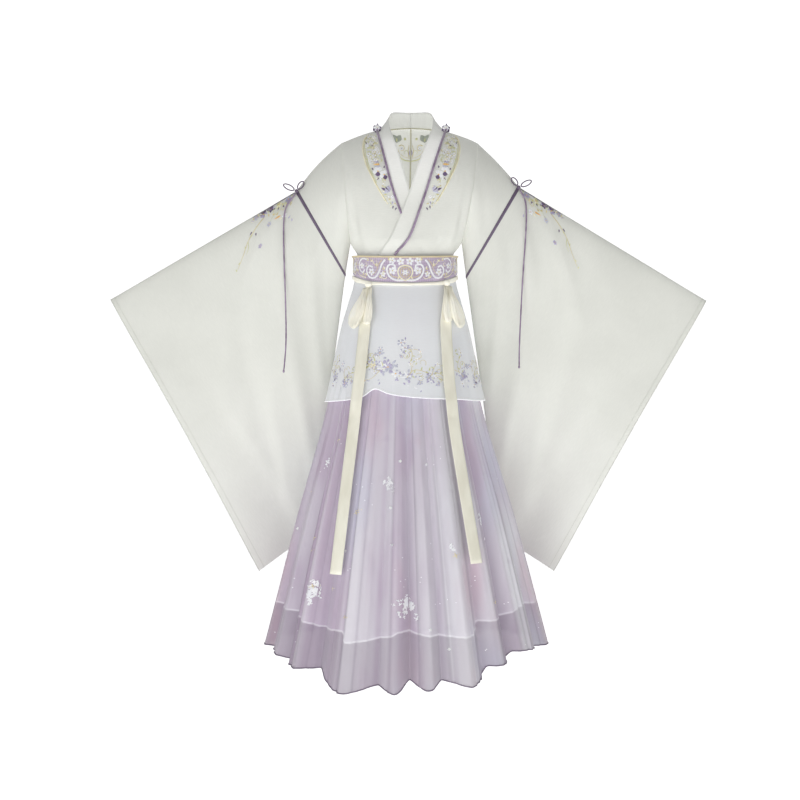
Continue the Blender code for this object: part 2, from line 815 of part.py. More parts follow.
def hang_point(x, z, clear):
    """A point just in front of whatever cloth lies outermost at this place of the front."""
    size = HIPS.read(z)
    out = BAND_GAP + RIDGE_MOST * fold_growth(z) + clear
    if z > OVERSKIRT_LOWEST:
        out += OVERSKIRT_OUT + OVERSKIRT_WAVE * clamp((WAVES_FROM - z) / WAVES_RUN) ** 1.5
    across = clamp(abs(x - size["middle"]) / (size["half_width"] + out))
    return Vector((x, -(size["half_depth"] + out) * math.sqrt(1 - across * across), z))


# Long ribbons: their middle line from the knot to the cut end
RIBBONS = {
    "right": ((-0.0950, -0.3692), (-0.0990, -0.420), (-0.1032, -0.469), (-0.1090, -0.525), (-0.1147, -0.580),
              (-0.1210, -0.632), (-0.1270, -0.690), (-0.1400, -0.800), (-0.1520, -0.905), (-0.1634, -1.005)),
    "left": ((0.0858, -0.3645), (0.0835, -0.415), (0.0825, -0.460), (0.0855, -0.520), (0.0891, -0.580),
             (0.0945, -0.632), (0.1010, -0.690), (0.1160, -0.790), (0.1310, -0.885), (0.1465, -0.982)),
}
KNOTS = {"right": (-0.0945, -0.3640), "left": (0.0855, -0.3600)}
KNOT_SIZE = (0.0165, 0.0120, 0.0140)


def ribbon_rows(path):
    rows = []
    for i, (x, z) in enumerate(path):
        width = RIBBON_WIDTH * mix(0.45, 1.0, smooth(i / 2))
        lean = RIBBON_LEAN if i % 2 else 0.0
        clear = RIBBON_CLEAR + RIBBON_WALL + lean
        rows.append([hang_point(x + way * width, z, clear) for way in (-0.5, 0.0, 0.5)])
    return rows


def ball(name, centre, size, finish, segments=10, rings=7):
    """A knot: a rounded lump of wound cloth."""
    shape = bmesh.new()
    bmesh.ops.create_uvsphere(shape, u_segments=segments, v_segments=rings, radius=0.5)
    mesh = bpy.data.meshes.new(name)
    shape.to_mesh(mesh)
    shape.free()
    mesh.transform(Matrix.Diagonal((*size, 1.0)))
    mesh.shade_smooth()
    made = add_object(name, mesh, finish)
    made.location = centre
    return made


# Bow loops: start beside the knot, sideways and downward reach, width at the bottom and how far they puff out
BOW_LOOPS = (
    # name, side word, start x, end x, end z, bottom width, puff
    ("bow_loop_right_outer", "right", -0.0065, -0.0330, -0.0960, 0.024, 0.017),
    ("bow_loop_right_inner", "right", 0.0050, -0.0010, -0.0900, 0.017, 0.013),
    ("bow_loop_left_outer", "left", 0.0065, 0.0290, -0.1000, 0.022, 0.017),
    ("bow_loop_left_inner", "left", -0.0045, 0.0020, -0.0880, 0.016, 0.013),
)
BOW_TOP = -0.0072
BOW_DOWN = (0.0, 0.3, 0.6, 0.86)
BOW_TURN = (30, 60, 90, 120, 150)


def bow_loop_rows(word, start_x, end_x, end_z, width, puff, start):
    """A ribbon that runs down from the knot, turns under and comes back up behind itself."""
    knot_x, knot_z = KNOTS[word]
    run = [(down, 1.0) for down in BOW_DOWN]
    for angle in BOW_TURN:
        turn = math.radians(angle)
        run.append((mix(BOW_DOWN[-1], 1.0, math.sin(turn)), math.cos(turn)))
    run += [(down, -1.0) for down in reversed(BOW_DOWN)]
    rows = []
    for down, layer in run:
        fill = mix(0.3, 1.0, smooth(down / 0.6))
        depth = start + 0.5 * puff * fill * (1 + layer)
        wide = mix(0.32, 1.0, smooth(down * 1.1)) * width
        x = knot_x + mix(start_x, end_x, down)
        z = knot_z + mix(BOW_TOP, end_z, down)
        rows.append([hang_point(x + way * wide, z, depth) for way in (-0.5, 0.0, 0.5)])
    return rows


for word, path in RIBBONS.items():
    cloth("ribbon_" + word, ribbon_rows(path), "cream_ribbon", towards_front, wall=RIBBON_WALL)
    x, z = KNOTS[word]
    ball("tie_knot_" + word, hang_point(x, z, KNOT_CLEAR), KNOT_SIZE, "cream_ribbon")
for name, word, start_x, end_x, end_z, width, puff in BOW_LOOPS:
    rows = bow_loop_rows(word, start_x, end_x, end_z, width, puff, BOW_CLEAR)
    cloth(name, rows, "cream_ribbon", away_from_axis, wall=WALL)


def smooth_line(points, spacing):
    """Points about a spacing apart on a smooth curve through a hand-set route."""
    points = [Vector(p) for p in points]
    ends = [points[0] * 2 - points[1], *points, points[-1] * 2 - points[-2]]
    out = []
    for a, b, c, d in zip(ends, ends[1:], ends[2:], ends[3:]):
        count = max(1, round((c - b).length / spacing))
        for k in range(count):
            t = k / count
            out.append(0.5 * (2 * b + (c - a) * t + (2 * a - 5 * b + 4 * c - d) * t * t
                              + (3 * b - a - 3 * c + d) * t**3))
    return out + [points[-1]]


def tube(name, points, diameter, finish, cyclic=False, resolution=2):
    curve = bpy.data.curves.new(name, "CURVE")
    curve.dimensions = "3D"
    line = curve.splines.new("POLY")
    line.points.add(len(points) - 1)
    for at, point in zip(line.points, points):
        at.co = (*point, 1.0)
    line.use_cyclic_u = cyclic
    curve.bevel_depth = diameter / 2
    curve.bevel_resolution = resolution
    curve.use_fill_caps = not cyclic
    return add_object(name, curve, finish)


# Sleeve bows sit on the binding just below its top fold, and their ties hang down the sleeve's front
KNOT_DOWN = 0.035
SLEEVE_KNOT_SIZE = (0.0095, 0.0085, 0.0095)
# Route of each tie below the knot: places across and up on the sleeve's front
SLEEVE_TIES = {
    "right": ((-0.2760, -0.1640), (-0.2860, -0.1780), (-0.2910, -0.1980), (-0.2925, -0.2250),
              (-0.2925, -0.2600), (-0.2915, -0.3100), (-0.2895, -0.3900), (-0.2880, -0.4600),
              (-0.2885, -0.5050), (-0.2915, -0.5450), (-0.2935, -0.5640)),
    "left": ((0.2650, -0.1540), (0.2700, -0.1680), (0.2715, -0.1850), (0.2712, -0.2200), (0.2690, -0.2600),
             (0.2660, -0.3100), (0.2625, -0.3800), (0.2585, -0.4600), (0.2565, -0.5100), (0.2560, -0.5540)),
}
TIE_CLEAR = 0.0016
# Sleeve bow loops: reach of each loop from the knot
SLEEVE_LOOPS = (
    # word, number, x reach, z reach, spread
    ("right", 1, -0.0300, 0.0150, 0.0055),
    ("right", 2, 0.0160, 0.0220, 0.0055),
    ("left", 1, -0.0160, 0.0220, 0.0055),
    ("left", 2, 0.0290, 0.0150, 0.0055),
)
LOOP_POINTS = 12


def sleeve_spot(side, x, z):
    """Where a place in the front view falls on the sleeve, along and down it."""
    along, down = 0.2, 0.3
    step = 0.001
    for _ in range(20):
        here = sleeve_point(side, along, down, FRONT)
        by_along = (sleeve_point(side, along + step, down, FRONT) - here) / step
        by_down = (sleeve_point(side, along, down + step, FRONT) - here) / step
        off_x, off_z = x - here.x, z - here.z
        scale = by_along.x * by_down.z - by_along.z * by_down.x
        along += (off_x * by_down.z - off_z * by_down.x) / scale
        down += (by_along.x * off_z - by_along.z * off_x) / scale
        along, down = max(along, 0.0), min(max(down, 0.0), 0.99)
    return along, down


def sleeve_normal(side, along, down):
    """The way out of the sleeve's front."""
    step = 0.004
    here = sleeve_point(side, along, down, FRONT)
    by_along = sleeve_point(side, along + step, down, FRONT) - here
    by_down = sleeve_point(side, along, down + step, FRONT) - here
    normal = by_along.cross(by_down).normalized()
    return normal if normal.y < 0 else -normal


for side, word in SIDE_NAMES.items():
    out = sleeve_normal(side, 0.0, KNOT_DOWN)
    off_sleeve = WALL + LIFT + BAND_GAP + SLEEVE_KNOT_SIZE[1] / 2
    knot = sleeve_point(side, 0.0, KNOT_DOWN, FRONT) + out * off_sleeve
    ball("sleeve_knot_" + word, knot, SLEEVE_KNOT_SIZE, "purple_binding", 8, 6)
    start = knot + Vector((side * 0.002, -0.0005, -SLEEVE_KNOT_SIZE[2] / 2 - 0.0006))
    route = [start]
    for x, z in SLEEVE_TIES[word]:
        along, down = sleeve_spot(side, x, z)
        front = sleeve_point(side, along, down, FRONT).y - TIE_CLEAR - SLEEVE_TIE / 2
        route.append(Vector((x, min(front, knot.y - 0.0005), z)))
    tube("sleeve_tie_" + word, smooth_line(route, 3 * SLEEVE_TIE), SLEEVE_TIE, "purple_binding")
    for loop_word, number, reach_x, reach_z, spread in SLEEVE_LOOPS:
        if loop_word != word:
            continue
        reach = Vector((reach_x, 0, reach_z))
        across = Vector((-reach.z, 0, reach.x)).normalized() * spread
        begin = knot + reach.normalized() * (0.5 * SLEEVE_KNOT_SIZE[0] + 0.5 * BOW_CORD + 0.0004)
        begin.y -= 0.001
        far = reach - (begin - knot)
        points = []
        for k in range(LOOP_POINTS):
            turn = 2 * math.pi * k / LOOP_POINTS
            points.append(begin + far * (1 - math.cos(turn)) / 2 + across * math.sin(turn))
        tube(f"sleeve_loop_{word}_{number}", points, BOW_CORD, "purple_binding", cyclic=True, resolution=1)

# Small flower knots where the collar pipings end at the shoulders
NECK_KNOT = (0.0120, 0.0110, 0.0120)
NECK_KNOT_HEIGHT = -0.0055
for side, word in SIDE_NAMES.items():
    x = side * NECKLINE.read(NECK_KNOT_HEIGHT)["seam"] + neck_shift(NECK_KNOT_HEIGHT)
    off_chest = PIPING_LIFT + PIPING_WALL + BAND_GAP + NECK_KNOT[1] / 2
    ball("neck_knot_" + word, chest_point(x, NECK_KNOT_HEIGHT, off_chest), NECK_KNOT, "purple_binding", 8, 6)
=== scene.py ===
from math import copysign, cos, degrees, exp, hypot, pi, radians, sin, sqrt
import random

import bmesh
import bpy
import numpy as np
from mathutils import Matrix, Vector
from mathutils.bvhtree import BVHTree


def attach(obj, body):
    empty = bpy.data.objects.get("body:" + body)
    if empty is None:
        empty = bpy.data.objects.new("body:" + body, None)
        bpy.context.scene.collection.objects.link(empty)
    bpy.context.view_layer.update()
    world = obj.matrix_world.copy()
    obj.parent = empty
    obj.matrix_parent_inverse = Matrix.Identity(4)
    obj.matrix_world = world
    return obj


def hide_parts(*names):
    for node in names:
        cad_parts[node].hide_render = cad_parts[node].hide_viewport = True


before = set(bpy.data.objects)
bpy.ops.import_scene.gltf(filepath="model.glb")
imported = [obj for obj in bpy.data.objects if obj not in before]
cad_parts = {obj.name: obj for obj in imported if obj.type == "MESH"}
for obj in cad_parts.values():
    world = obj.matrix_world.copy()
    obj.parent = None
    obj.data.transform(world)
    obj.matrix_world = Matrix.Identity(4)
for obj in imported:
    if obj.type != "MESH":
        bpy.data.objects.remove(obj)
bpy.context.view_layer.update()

# Studio

# A flat white floor well below the hem, white walls that are seen but give no light, and a dim even surround.
# A large soft light from the upper left, weaker ones from overhead, low on both sides, below and behind.
# The camera stands level with the thighs, three metres in front of the middle.
CAMERA_PLACE = (-0.022, -3.0, -0.491)
CAMERA_LENS = 57.4
CAMERA_SHIFT = -0.075
PAPER_HEIGHT = -1.75
FLOOR_HALF = 8.0
WALL_RADIUS = 14.0


def add_object(name, data):
    made = bpy.data.objects.new(name, data)
    bpy.context.collection.objects.link(made)
    return made


eye = bpy.data.cameras.new("view")
eye.lens = CAMERA_LENS
eye.sensor_width = 36
eye.shift_y = CAMERA_SHIFT
camera = add_object("view", eye)
camera.location = CAMERA_PLACE
camera.rotation_euler = (radians(90), 0, 0)
bpy.context.scene.camera = camera
bpy.context.scene.view_settings.view_transform = "Standard"


def soft_light(name, place, aim, size, power):
    lamp = bpy.data.lights.new(name, "AREA")
    lamp.size = size
    lamp.energy = power
    made = add_object(name, lamp)
    made.location = place
    made.rotation_euler = (Vector(aim) - Vector(place)).to_track_quat("-Z", "Y").to_euler()
    made.visible_camera = False


soft_light("key", (-2.6, -3.4, 0.9), (0, 0, -0.6), 1.8, 19)
soft_light("overhead", (0, 0.2, 2.4), (0, 0, -0.1), 1.6, 17)
soft_light("low_left", (-2.6, -2.6, -1.3), (-0.4, 0, -0.9), 1.4, 12)
soft_light("low_right", (2.6, -2.6, -1.3), (0.4, 0, -0.9), 1.4, 10)
soft_light("bounce", (0, -1.7, -1.7), (0, 0.1, -0.8), 2.6, 20)
soft_light("back_rim", (1.4, 3.0, 1.6), (0, 0, -0.6), 2.0, 7)
surround = bpy.data.worlds.new("surround")
surround.use_nodes = True
surround.node_tree.nodes["Background"].inputs["Color"].default_value = (1.0, 1.0, 1.0, 1)
surround.node_tree.nodes["Background"].inputs["Strength"].default_value = 0.24
bpy.context.scene.world = surround


def put(tree, kind, settings, inputs):
    """A node's outputs: its settings are set first, then the values or links of its sockets."""
    made = tree.nodes.new(kind)
    for words, value in settings.items():
        setattr(made, words, value)
    for socket, value in inputs.items():
        if isinstance(value, bpy.types.NodeSocket):
            tree.links.new(value, made.inputs[socket])
        else:
            made.inputs[socket].default_value = value
    return made.outputs


class Wire:
    """One value that changes over a cloth. Arithmetic on it adds Math nodes to the cloth's material."""

    def __init__(self, dye, socket):
        self.dye, self.socket = dye, socket

    def calc(self, operation, *values):
        return self.dye.node("ShaderNodeMath", {"operation": operation}, dict(enumerate(values)))

    def __add__(self, other):
        return self.calc("ADD", self, other)

    def __sub__(self, other):
        return self.calc("SUBTRACT", self, other)

    def __rsub__(self, other):
        return self.calc("SUBTRACT", other, self)

    def __mul__(self, other):
        return self.calc("MULTIPLY", self, other)

    __radd__ = __add__
    __rmul__ = __mul__


def light_value(red, green, blue):
    """A colour as named on a screen, 0 to 255, in the renderer's linear scale."""
    return tuple(((c / 255 + 0.055) / 1.055) ** 2.4 if c > 10 else c / 3300 for c in (red, green, blue))


class Dye:
    """A finish under construction: one Principled shader and the nodes that feed it."""

    def __init__(self, name, colour, roughness, **constants):
        self.material = bpy.data.materials.new(name)
        self.material.use_nodes = True
        self.tree = self.material.node_tree
        self.shader = self.tree.nodes["Principled BSDF"]
        self.shader.inputs["Base Color"].default_value = (*light_value(*colour), 1)
        self.shader.inputs["Roughness"].default_value = roughness
        for words, value in constants.items():
            self.shader.inputs[words.replace("_", " ")].default_value = value
        self.where = self.node("ShaderNodeTexCoord", {}, {}, "Object")
        self.cut = self.node("ShaderNodeTexCoord", {}, {}, "UV")
        self.opaque = True

    def node(self, kind, settings, inputs, output=0):
        """Any other node, with wires or values for its sockets."""
        plain = {socket: value.socket if isinstance(value, Wire) else value for socket, value in inputs.items()}
        return Wire(self, put(self.tree, kind, settings, plain)[output])

    def blend(self, share, first, second):
        """Two colours mixed, each a wire or a named colour."""
        first, second = (c if isinstance(c, Wire) else (*light_value(*c), 1) for c in (first, second))
        values = {0: share, 6: first, 7: second}
        return self.node("ShaderNodeMix", {"data_type": "RGBA", "clamp_factor": True}, values, 2)

    def stretched(self, coordinates, scale, turn=(0, 0, 0)):
        return self.node("ShaderNodeMapping", {}, {"Vector": coordinates, "Scale": scale, "Rotation": turn})

    def noise(self, coordinates, scale, detail=3.0):
        values = {"Vector": coordinates, "Scale": scale, "Detail": detail, "Roughness": 0.5}
        return self.node("ShaderNodeTexNoise", {"noise_dimensions": "3D"}, values)

    def between(self, value, low, high):
        """A value spread so that low becomes 0 and high becomes 1, held at both ends."""
        spread = {"interpolation_type": "SMOOTHSTEP"}
        return self.node("ShaderNodeMapRange", spread, {"Value": value, "From Min": low, "From Max": high})

    def cloud(self, coordinates, scale, low=0.3, high=0.7, detail=3.0):
        """Soft patches from 0 to 1."""
        return self.between(self.noise(coordinates, scale, detail), low, high)

    def height(self, low, high):
        """0 to 1 between two heights of the set."""
        return self.between(self.node("ShaderNodeSeparateXYZ", {}, {0: self.where}, "Z"), low, high)

    def mark(self, name):
        """A value kept at each point of the cloth."""
        return self.node("ShaderNodeAttribute", {"attribute_name": name}, {}, "Fac")

    def ribs(self, axis, pitch):
        """Threads side by side: 0 to 1 across the cut cloth's X or Y, in metres."""
        turns = self.node("ShaderNodeSeparateXYZ", {}, {0: self.cut}, axis) * (2 * pi / pitch)
        return turns.calc("SINE", turns) * 0.5 + 0.5

    def weave(self, pitch, depth, strength=0.35, extra=None):
        """Plain weave in the bump, with anything else that stands out from the cloth."""
        height = self.ribs("X", pitch) * self.ribs("Y", pitch)
        if extra is not None:
            height = height + extra
        values = {"Height": height, "Strength": strength, "Distance": depth}
        self.feed("Normal", self.node("ShaderNodeBump", {}, values))

    def feed(self, socket, wire):
        self.tree.links.new(wire.socket, self.shader.inputs[socket])


paper = Dye("studio_paper", (250, 250, 250), 0.9, Emission_Color=(1, 1, 1, 1), Emission_Strength=0.85)
paper.feed("Roughness", paper.cloud(paper.where, 3.0, 0.0, 1.0) * 0.05 + 0.88)


def studio_side(name, form):
    """The floor or the walls of the studio, in the same white paper."""
    mesh = bpy.data.meshes.new(name)
    form.to_mesh(mesh)
    form.free()
    mesh.materials.append(paper.material)
    made = add_object(name, mesh)
    return made


floor = bmesh.new()
bmesh.ops.create_grid(floor, x_segments=1, y_segments=1, size=FLOOR_HALF)
bmesh.ops.translate(floor, vec=(0, 0, PAPER_HEIGHT), verts=floor.verts)
studio_side("paper_floor", floor)
# White walls all round, which are seen but give no light
walls = bmesh.new()
bmesh.ops.create_icosphere(walls, subdivisions=4, radius=WALL_RADIUS)
bmesh.ops.reverse_faces(walls, faces=walls.faces)
white_walls = studio_side("white_walls", walls)
for ray in ("diffuse", "glossy", "transmission", "volume_scatter", "shadow"):
    setattr(white_walls, "visible_" + ray, False)

# Sleeve ties

# Each wide sleeve is caught by a thin plum satin cord, knotted over the binding with two small bow loops.
# One end hangs down the sleeve's front to a small end knot. The sleeve's form comes first: the cord lies on it.
FRONT = -1
BACK = 1
WALL = 0.0012
LIFT = 0.0007
BAND_GAP = 0.0006
FOLD_EDGE = 0.0016
BINDING_HALF = 0.045
CUFF_HALF = 0.023
CUFF_HOLLOW = 0.009
LENS_TAPER = 0.28
KNEE = 0.8
SIDE_NAMES = {-1: "right", 1: "left"}
SLEEVE_TIE = 0.004
TIE_CLEAR = 0.0016
KNOT_DOWN = 0.035
SLEEVE_KNOT_SIZE = (0.0095, 0.0085, 0.0095)
END_KNOT = 0.0058
RIB_HEIGHT = 0.1
KNOT_GROOVE = 0.13
KNOT_SLANT = 0.6


def clamp(value):
    return min(max(value, 0.0), 1.0)


def smooth(value):
    value = clamp(value)
    return value * value * (3 - 2 * value)


def mix(a, b, share):
    return a + (b - a) * share


class Profile:
    """A table of named columns, read against its first column on a smooth curve that never overshoots."""

    def __init__(self, columns, *rows):
        data = np.array(sorted(rows), float)
        self.names = columns.split()[1:]
        self.at = data[:, 0]
        self.values = data[:, 1:]
        slope = np.diff(self.values, axis=0) / np.diff(self.at)[:, None]
        self.tangent = np.zeros_like(self.values)
        self.tangent[0] = slope[0]
        self.tangent[-1] = slope[-1]
        for i in range(1, len(data) - 1):
            same = slope[i - 1] * slope[i] > 0
            total = np.where(same, slope[i - 1] + slope[i], 1.0)
            self.tangent[i] = np.where(same, 2 * slope[i - 1] * slope[i] / total, 0.0)

    def read(self, at):
        at = min(max(at, self.at[0]), self.at[-1])
        i = min(max(int(np.searchsorted(self.at, at)) - 1, 0), len(self.at) - 2)
        step = self.at[i + 1] - self.at[i]
        t = (at - self.at[i]) / step
        start, end = self.values[i], self.values[i + 1]
        blend = start * (1 + 2 * t) * (1 - t) ** 2 + end * t * t * (3 - 2 * t)
        bend = self.tangent[i] * t * (1 - t) ** 2 - self.tangent[i + 1] * t * t * (1 - t)
        return dict(zip(self.names, blend + bend * step))


CORNERS = ("binding_top", "binding_bottom", "cuff_top", "cuff_bottom", "inner_bottom")
CORNER_PLACES = {
    -1: ((-0.265, 0.0, -0.1405), (-0.15, 0.0, -0.336), (-0.702, 0.0, -0.3956), (-0.36, 0.065, -1.0455),
         (-0.243, 0.15, -0.97)),
    1: ((0.257, 0.0, -0.131), (0.133, 0.0, -0.3405), (0.6975, 0.0, -0.3986), (0.3475, 0.065, -1.0455),
        (0.231, 0.15, -0.981)),
}
SLEEVES = {side: dict(zip(CORNERS, map(Vector, places))) for side, places in CORNER_PLACES.items()}
LOWER_EDGE = Profile(
    "along back half",
    (0.0, 0.0, BINDING_HALF), (0.1, 0.022, 0.042), (0.2, 0.045, 0.038), (0.4, 0.09, 0.032),
    (KNEE, 0.15, 0.024), (1.0, 0.065, CUFF_HALF),
)
# Soft folds across the sleeve. The first four are those of the solid, and the fine ones are the cloth's own.
SLEEVE_FOLDS = (
    # along, down, along, down, half width, height
    (0.02, 0.1, 0.62, 0.98, 0.05, 0.01), (0.05, 0.05, 0.95, 0.55, 0.045, 0.007),
    (0.02, 0.45, 0.4, 1.0, 0.045, 0.008), (0.35, 0.02, 0.9, 0.96, 0.055, -0.006),
)
FOLD_TAPER = (0.3, 1.15)
FINE_FOLDS = (
    (0.0, 0.3, 0.5, 0.8, 0.016, 0.0022), (0.0, 0.62, 0.3, 0.96, 0.014, -0.0024),
    (0.01, 0.8, 0.16, 1.0, 0.012, 0.0022), (0.04, 0.16, 0.66, 0.62, 0.02, -0.0026),
    (0.1, 0.02, 0.55, 0.34, 0.018, 0.0018), (0.3, 0.1, 0.98, 0.36, 0.022, -0.002),
    (0.45, 0.35, 0.97, 0.7, 0.024, 0.0022), (0.2, 0.5, 0.74, 0.99, 0.02, -0.0026),
    (0.55, 0.6, 0.93, 0.99, 0.018, 0.002), (0.36, 0.72, 0.62, 1.0, 0.016, 0.0024),
)


def lens(down):
    """Share of the full half thickness at a place down the sleeve: round at both folds, fuller above."""
    return max(4 * down * (1 - down), 0.0) ** 0.5 * (1 - LENS_TAPER * down)


def crease_height(creases, a, b, taper=0.35, past_end=1.2):
    """The height at a place of soft creases, which run from one place to another and fade at their ends."""
    total = 0.0
    for a0, b0, a1, b1, width, height in creases:
        run = hypot(a1 - a0, b1 - b0)
        past = ((a - a0) * (a1 - a0) + (b - b0) * (b1 - b0)) / run
        aside = ((a - a0) * (b1 - b0) - (b - b0) * (a1 - a0)) / run
        fade = smooth(past / (taper * run)) * smooth((past_end * run - past) / (taper * run))
        total += height * fade * exp(-((aside / width) ** 2))
    return total


def sleeve_point(side, along, down, face, fine=False):
    """A point of the wide sleeve: along it from binding to cuff, and down it from its top fold."""
    corner = SLEEVES[side]
    top = mix(corner["binding_top"], corner["cuff_top"], along)
    if along < KNEE:
        bottom = mix(corner["binding_bottom"], corner["inner_bottom"], along / KNEE)
    else:
        bottom = mix(corner["inner_bottom"], corner["cuff_bottom"], (along - KNEE) / (1 - KNEE))
    size = LOWER_EDGE.read(along)
    middle = mix(top, bottom, down)
    middle.x -= side * CUFF_HOLLOW * sin(pi * down) * along**4
    middle.y = size["back"] * down**1.4
    folds = crease_height(SLEEVE_FOLDS, along, down, *FOLD_TAPER)
    if fine:
        folds += crease_height(FINE_FOLDS, along, down, *FOLD_TAPER)
    return middle + Vector((0, face * (FOLD_EDGE + (size["half"] - face * folds) * lens(down)), 0))


def sleeve_spot(side, x, z):
    """Where a place in the front view falls on the sleeve, along and down it."""
    along, down = 0.2, 0.3
    step = 0.001
    for _ in range(20):
        here = sleeve_point(side, along, down, FRONT)
        by_along = (sleeve_point(side, along + step, down, FRONT) - here) / step
        by_down = (sleeve_point(side, along, down + step, FRONT) - here) / step
        off_x, off_z = x - here.x, z - here.z
        scale = by_along.x * by_down.z - by_along.z * by_down.x
        along += (off_x * by_down.z - off_z * by_down.x) / scale
        down += (by_along.x * off_z - by_along.z * off_x) / scale
        along, down = max(along, 0.0), min(max(down, 0.0), 0.99)
    return along, down


def sleeve_normal(side, along, down):
    """The way out of the sleeve's front."""
    step = 0.004
    here = sleeve_point(side, along, down, FRONT)
    by_along = sleeve_point(side, along + step, down, FRONT) - here
    by_down = sleeve_point(side, along, down + step, FRONT) - here
    normal = by_along.cross(by_down).normalized()
    return normal if normal.y < 0 else -normal


def curve_step(a, b, c, d, t):
    """A place on the smooth curve from b to c that comes from a and goes on to d."""
    return 0.5 * (2 * b + (c - a) * t + (2 * a - 5 * b + 4 * c - d) * t * t + (3 * b - a - 3 * c + d) * t**3)


def smooth_line(points, spacing):
    """Points about a spacing apart on a smooth curve through a given route."""
    points = [Vector(p) for p in points]
    ends = [points[0] * 2 - points[1], *points, points[-1] * 2 - points[-2]]
    out = []
    for a, b, c, d in zip(ends, ends[1:], ends[2:], ends[3:]):
        count = max(1, round((c - b).length / spacing))
        out += [curve_step(a, b, c, d, k / count) for k in range(count)]
    return out + [points[-1]]


FRONTWARD = Vector((0, -1, 0))


def grid_faces(rows, wide, closed_down=False, closed_across=True):
    """The faces between rows of points that are listed one row after the other."""
    faces = []
    for i in range(rows if closed_down else rows - 1):
        j = (i + 1) % rows
        for k in range(wide if closed_across else wide - 1):
            m = (k + 1) % wide
            faces.append((i * wide + k, i * wide + m, j * wide + m, j * wide + k))
    return faces


def add_piece(name, points, faces, finishes, replaced=(), marks=None, laid=None):
    """A finished mesh on the set: one finish or several, and the cut cloth's UV map where laid is given."""
    mesh = bpy.data.meshes.new(name)
    mesh.from_pydata([tuple(p) for p in points], [], faces)
    for finish in finishes:
        mesh.materials.append(finish.material)
    if marks:
        mesh.polygons.foreach_set("material_index", marks)
    if laid:
        layer = mesh.uv_layers.new(name="cut")
        for corner in mesh.loops:
            layer.data[corner.index].uv = laid[corner.vertex_index]
    mesh.shade_smooth()
    made = add_object(name, mesh)
    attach(made, "root")
    if replaced:
        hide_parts(*replaced)
    return made


def way_at(line, i):
    """The way that a line runs at one of its points."""
    return (line[min(i + 1, len(line) - 1)] - line[max(i - 1, 0)]).normalized()


def tube(name, points, radius, finish, replaced=(), around=10, cyclic=False, ribs=0, twist=0.0):
    """A round cord with closed ends, and ribs that wind round it."""
    points = [Vector(p) for p in points]
    count = len(points)
    out, laid = [], []
    side = -FRONTWARD
    travelled = 0.0
    for i, here in enumerate(points):
        ahead = (points[(i + 1) % count] - points[i - 1]).normalized() if cyclic else way_at(points, i)
        side = (side - ahead * side.dot(ahead)).normalized()
        up = ahead.cross(side)
        travelled += (here - points[i - 1]).length if i else 0.0
        for k in range(around):
            turn = 2 * pi * k / around
            ribbed = radius * (1 + RIB_HEIGHT * cos(ribs * turn + twist * travelled))
            out.append(here + side * ribbed * cos(turn) + up * ribbed * sin(turn))
            laid.append((ribbed * turn, travelled))
    faces = grid_faces(count, around, closed_down=cyclic)
    if not cyclic:
        faces.append(tuple(range(around))[::-1])
        faces.append(tuple((count - 1) * around + k for k in range(around)))
    return add_piece(name, out, faces, [finish], replaced, laid=laid)


def wound_knot(name, centre, size, finish, replaced=(), turns=3, segments=20, rings=14):
    """A knot of wound cloth: a rounded lump with grooves that slant round it."""
    out = []
    for r in range(1, rings):
        tilt = pi * r / rings
        for s in range(segments):
            turn = 2 * pi * s / segments
            wound = 0.5 + 0.5 * cos(2 * turns * (2 * tilt + KNOT_SLANT * sin(turn)))
            swell = 1 - KNOT_GROOVE * wound * sin(tilt)
            ball = (sin(tilt) * cos(turn), sin(tilt) * sin(turn), cos(tilt))
            out.append(Vector(centre) + Vector(p * wide / 2 for p, wide in zip(ball, size)) * swell)
    top, low = len(out), len(out) + 1
    out += [Vector(centre) + Vector((0, 0, end * size[2] / 2)) for end in (1, -1)]
    faces = [face[::-1] for face in grid_faces(rings - 1, segments)]
    base = (rings - 2) * segments
    for s in range(segments):
        t = (s + 1) % segments
        faces += [(s, t, top), (base + t, base + s, low)]
    return add_piece(name, out, faces, [finish], replaced)


def thread_dye(name, colour, roughness, patches, dark, light, pitch=0.0008, depth=0.0001, **constants):
    """A plain woven finish in two tones of one colour."""
    made = Dye(name, colour, roughness, **constants)
    made.feed("Base Color", made.blend(made.noise(made.where, patches), dark, light))
    made.weave(pitch, depth)
    return made


dark_satin = thread_dye("dark_plum_satin", (92, 78, 100), 0.42, 70.0, (78, 64, 86), (116, 100, 124),
                        0.0009, 0.0002, Sheen_Weight=0.25)
plum_satin = Dye("plum_satin", (140, 122, 146), 0.42, Sheen_Weight=0.35)
plum_shade = plum_satin.cloud(plum_satin.where, 60.0)
plum_satin.feed("Base Color", plum_satin.blend(plum_shade, (124, 104, 130), (160, 143, 166)))
plum_satin.feed("Roughness", plum_shade * 0.15 + 0.38)
plum_satin.weave(0.0011, 0.00012)

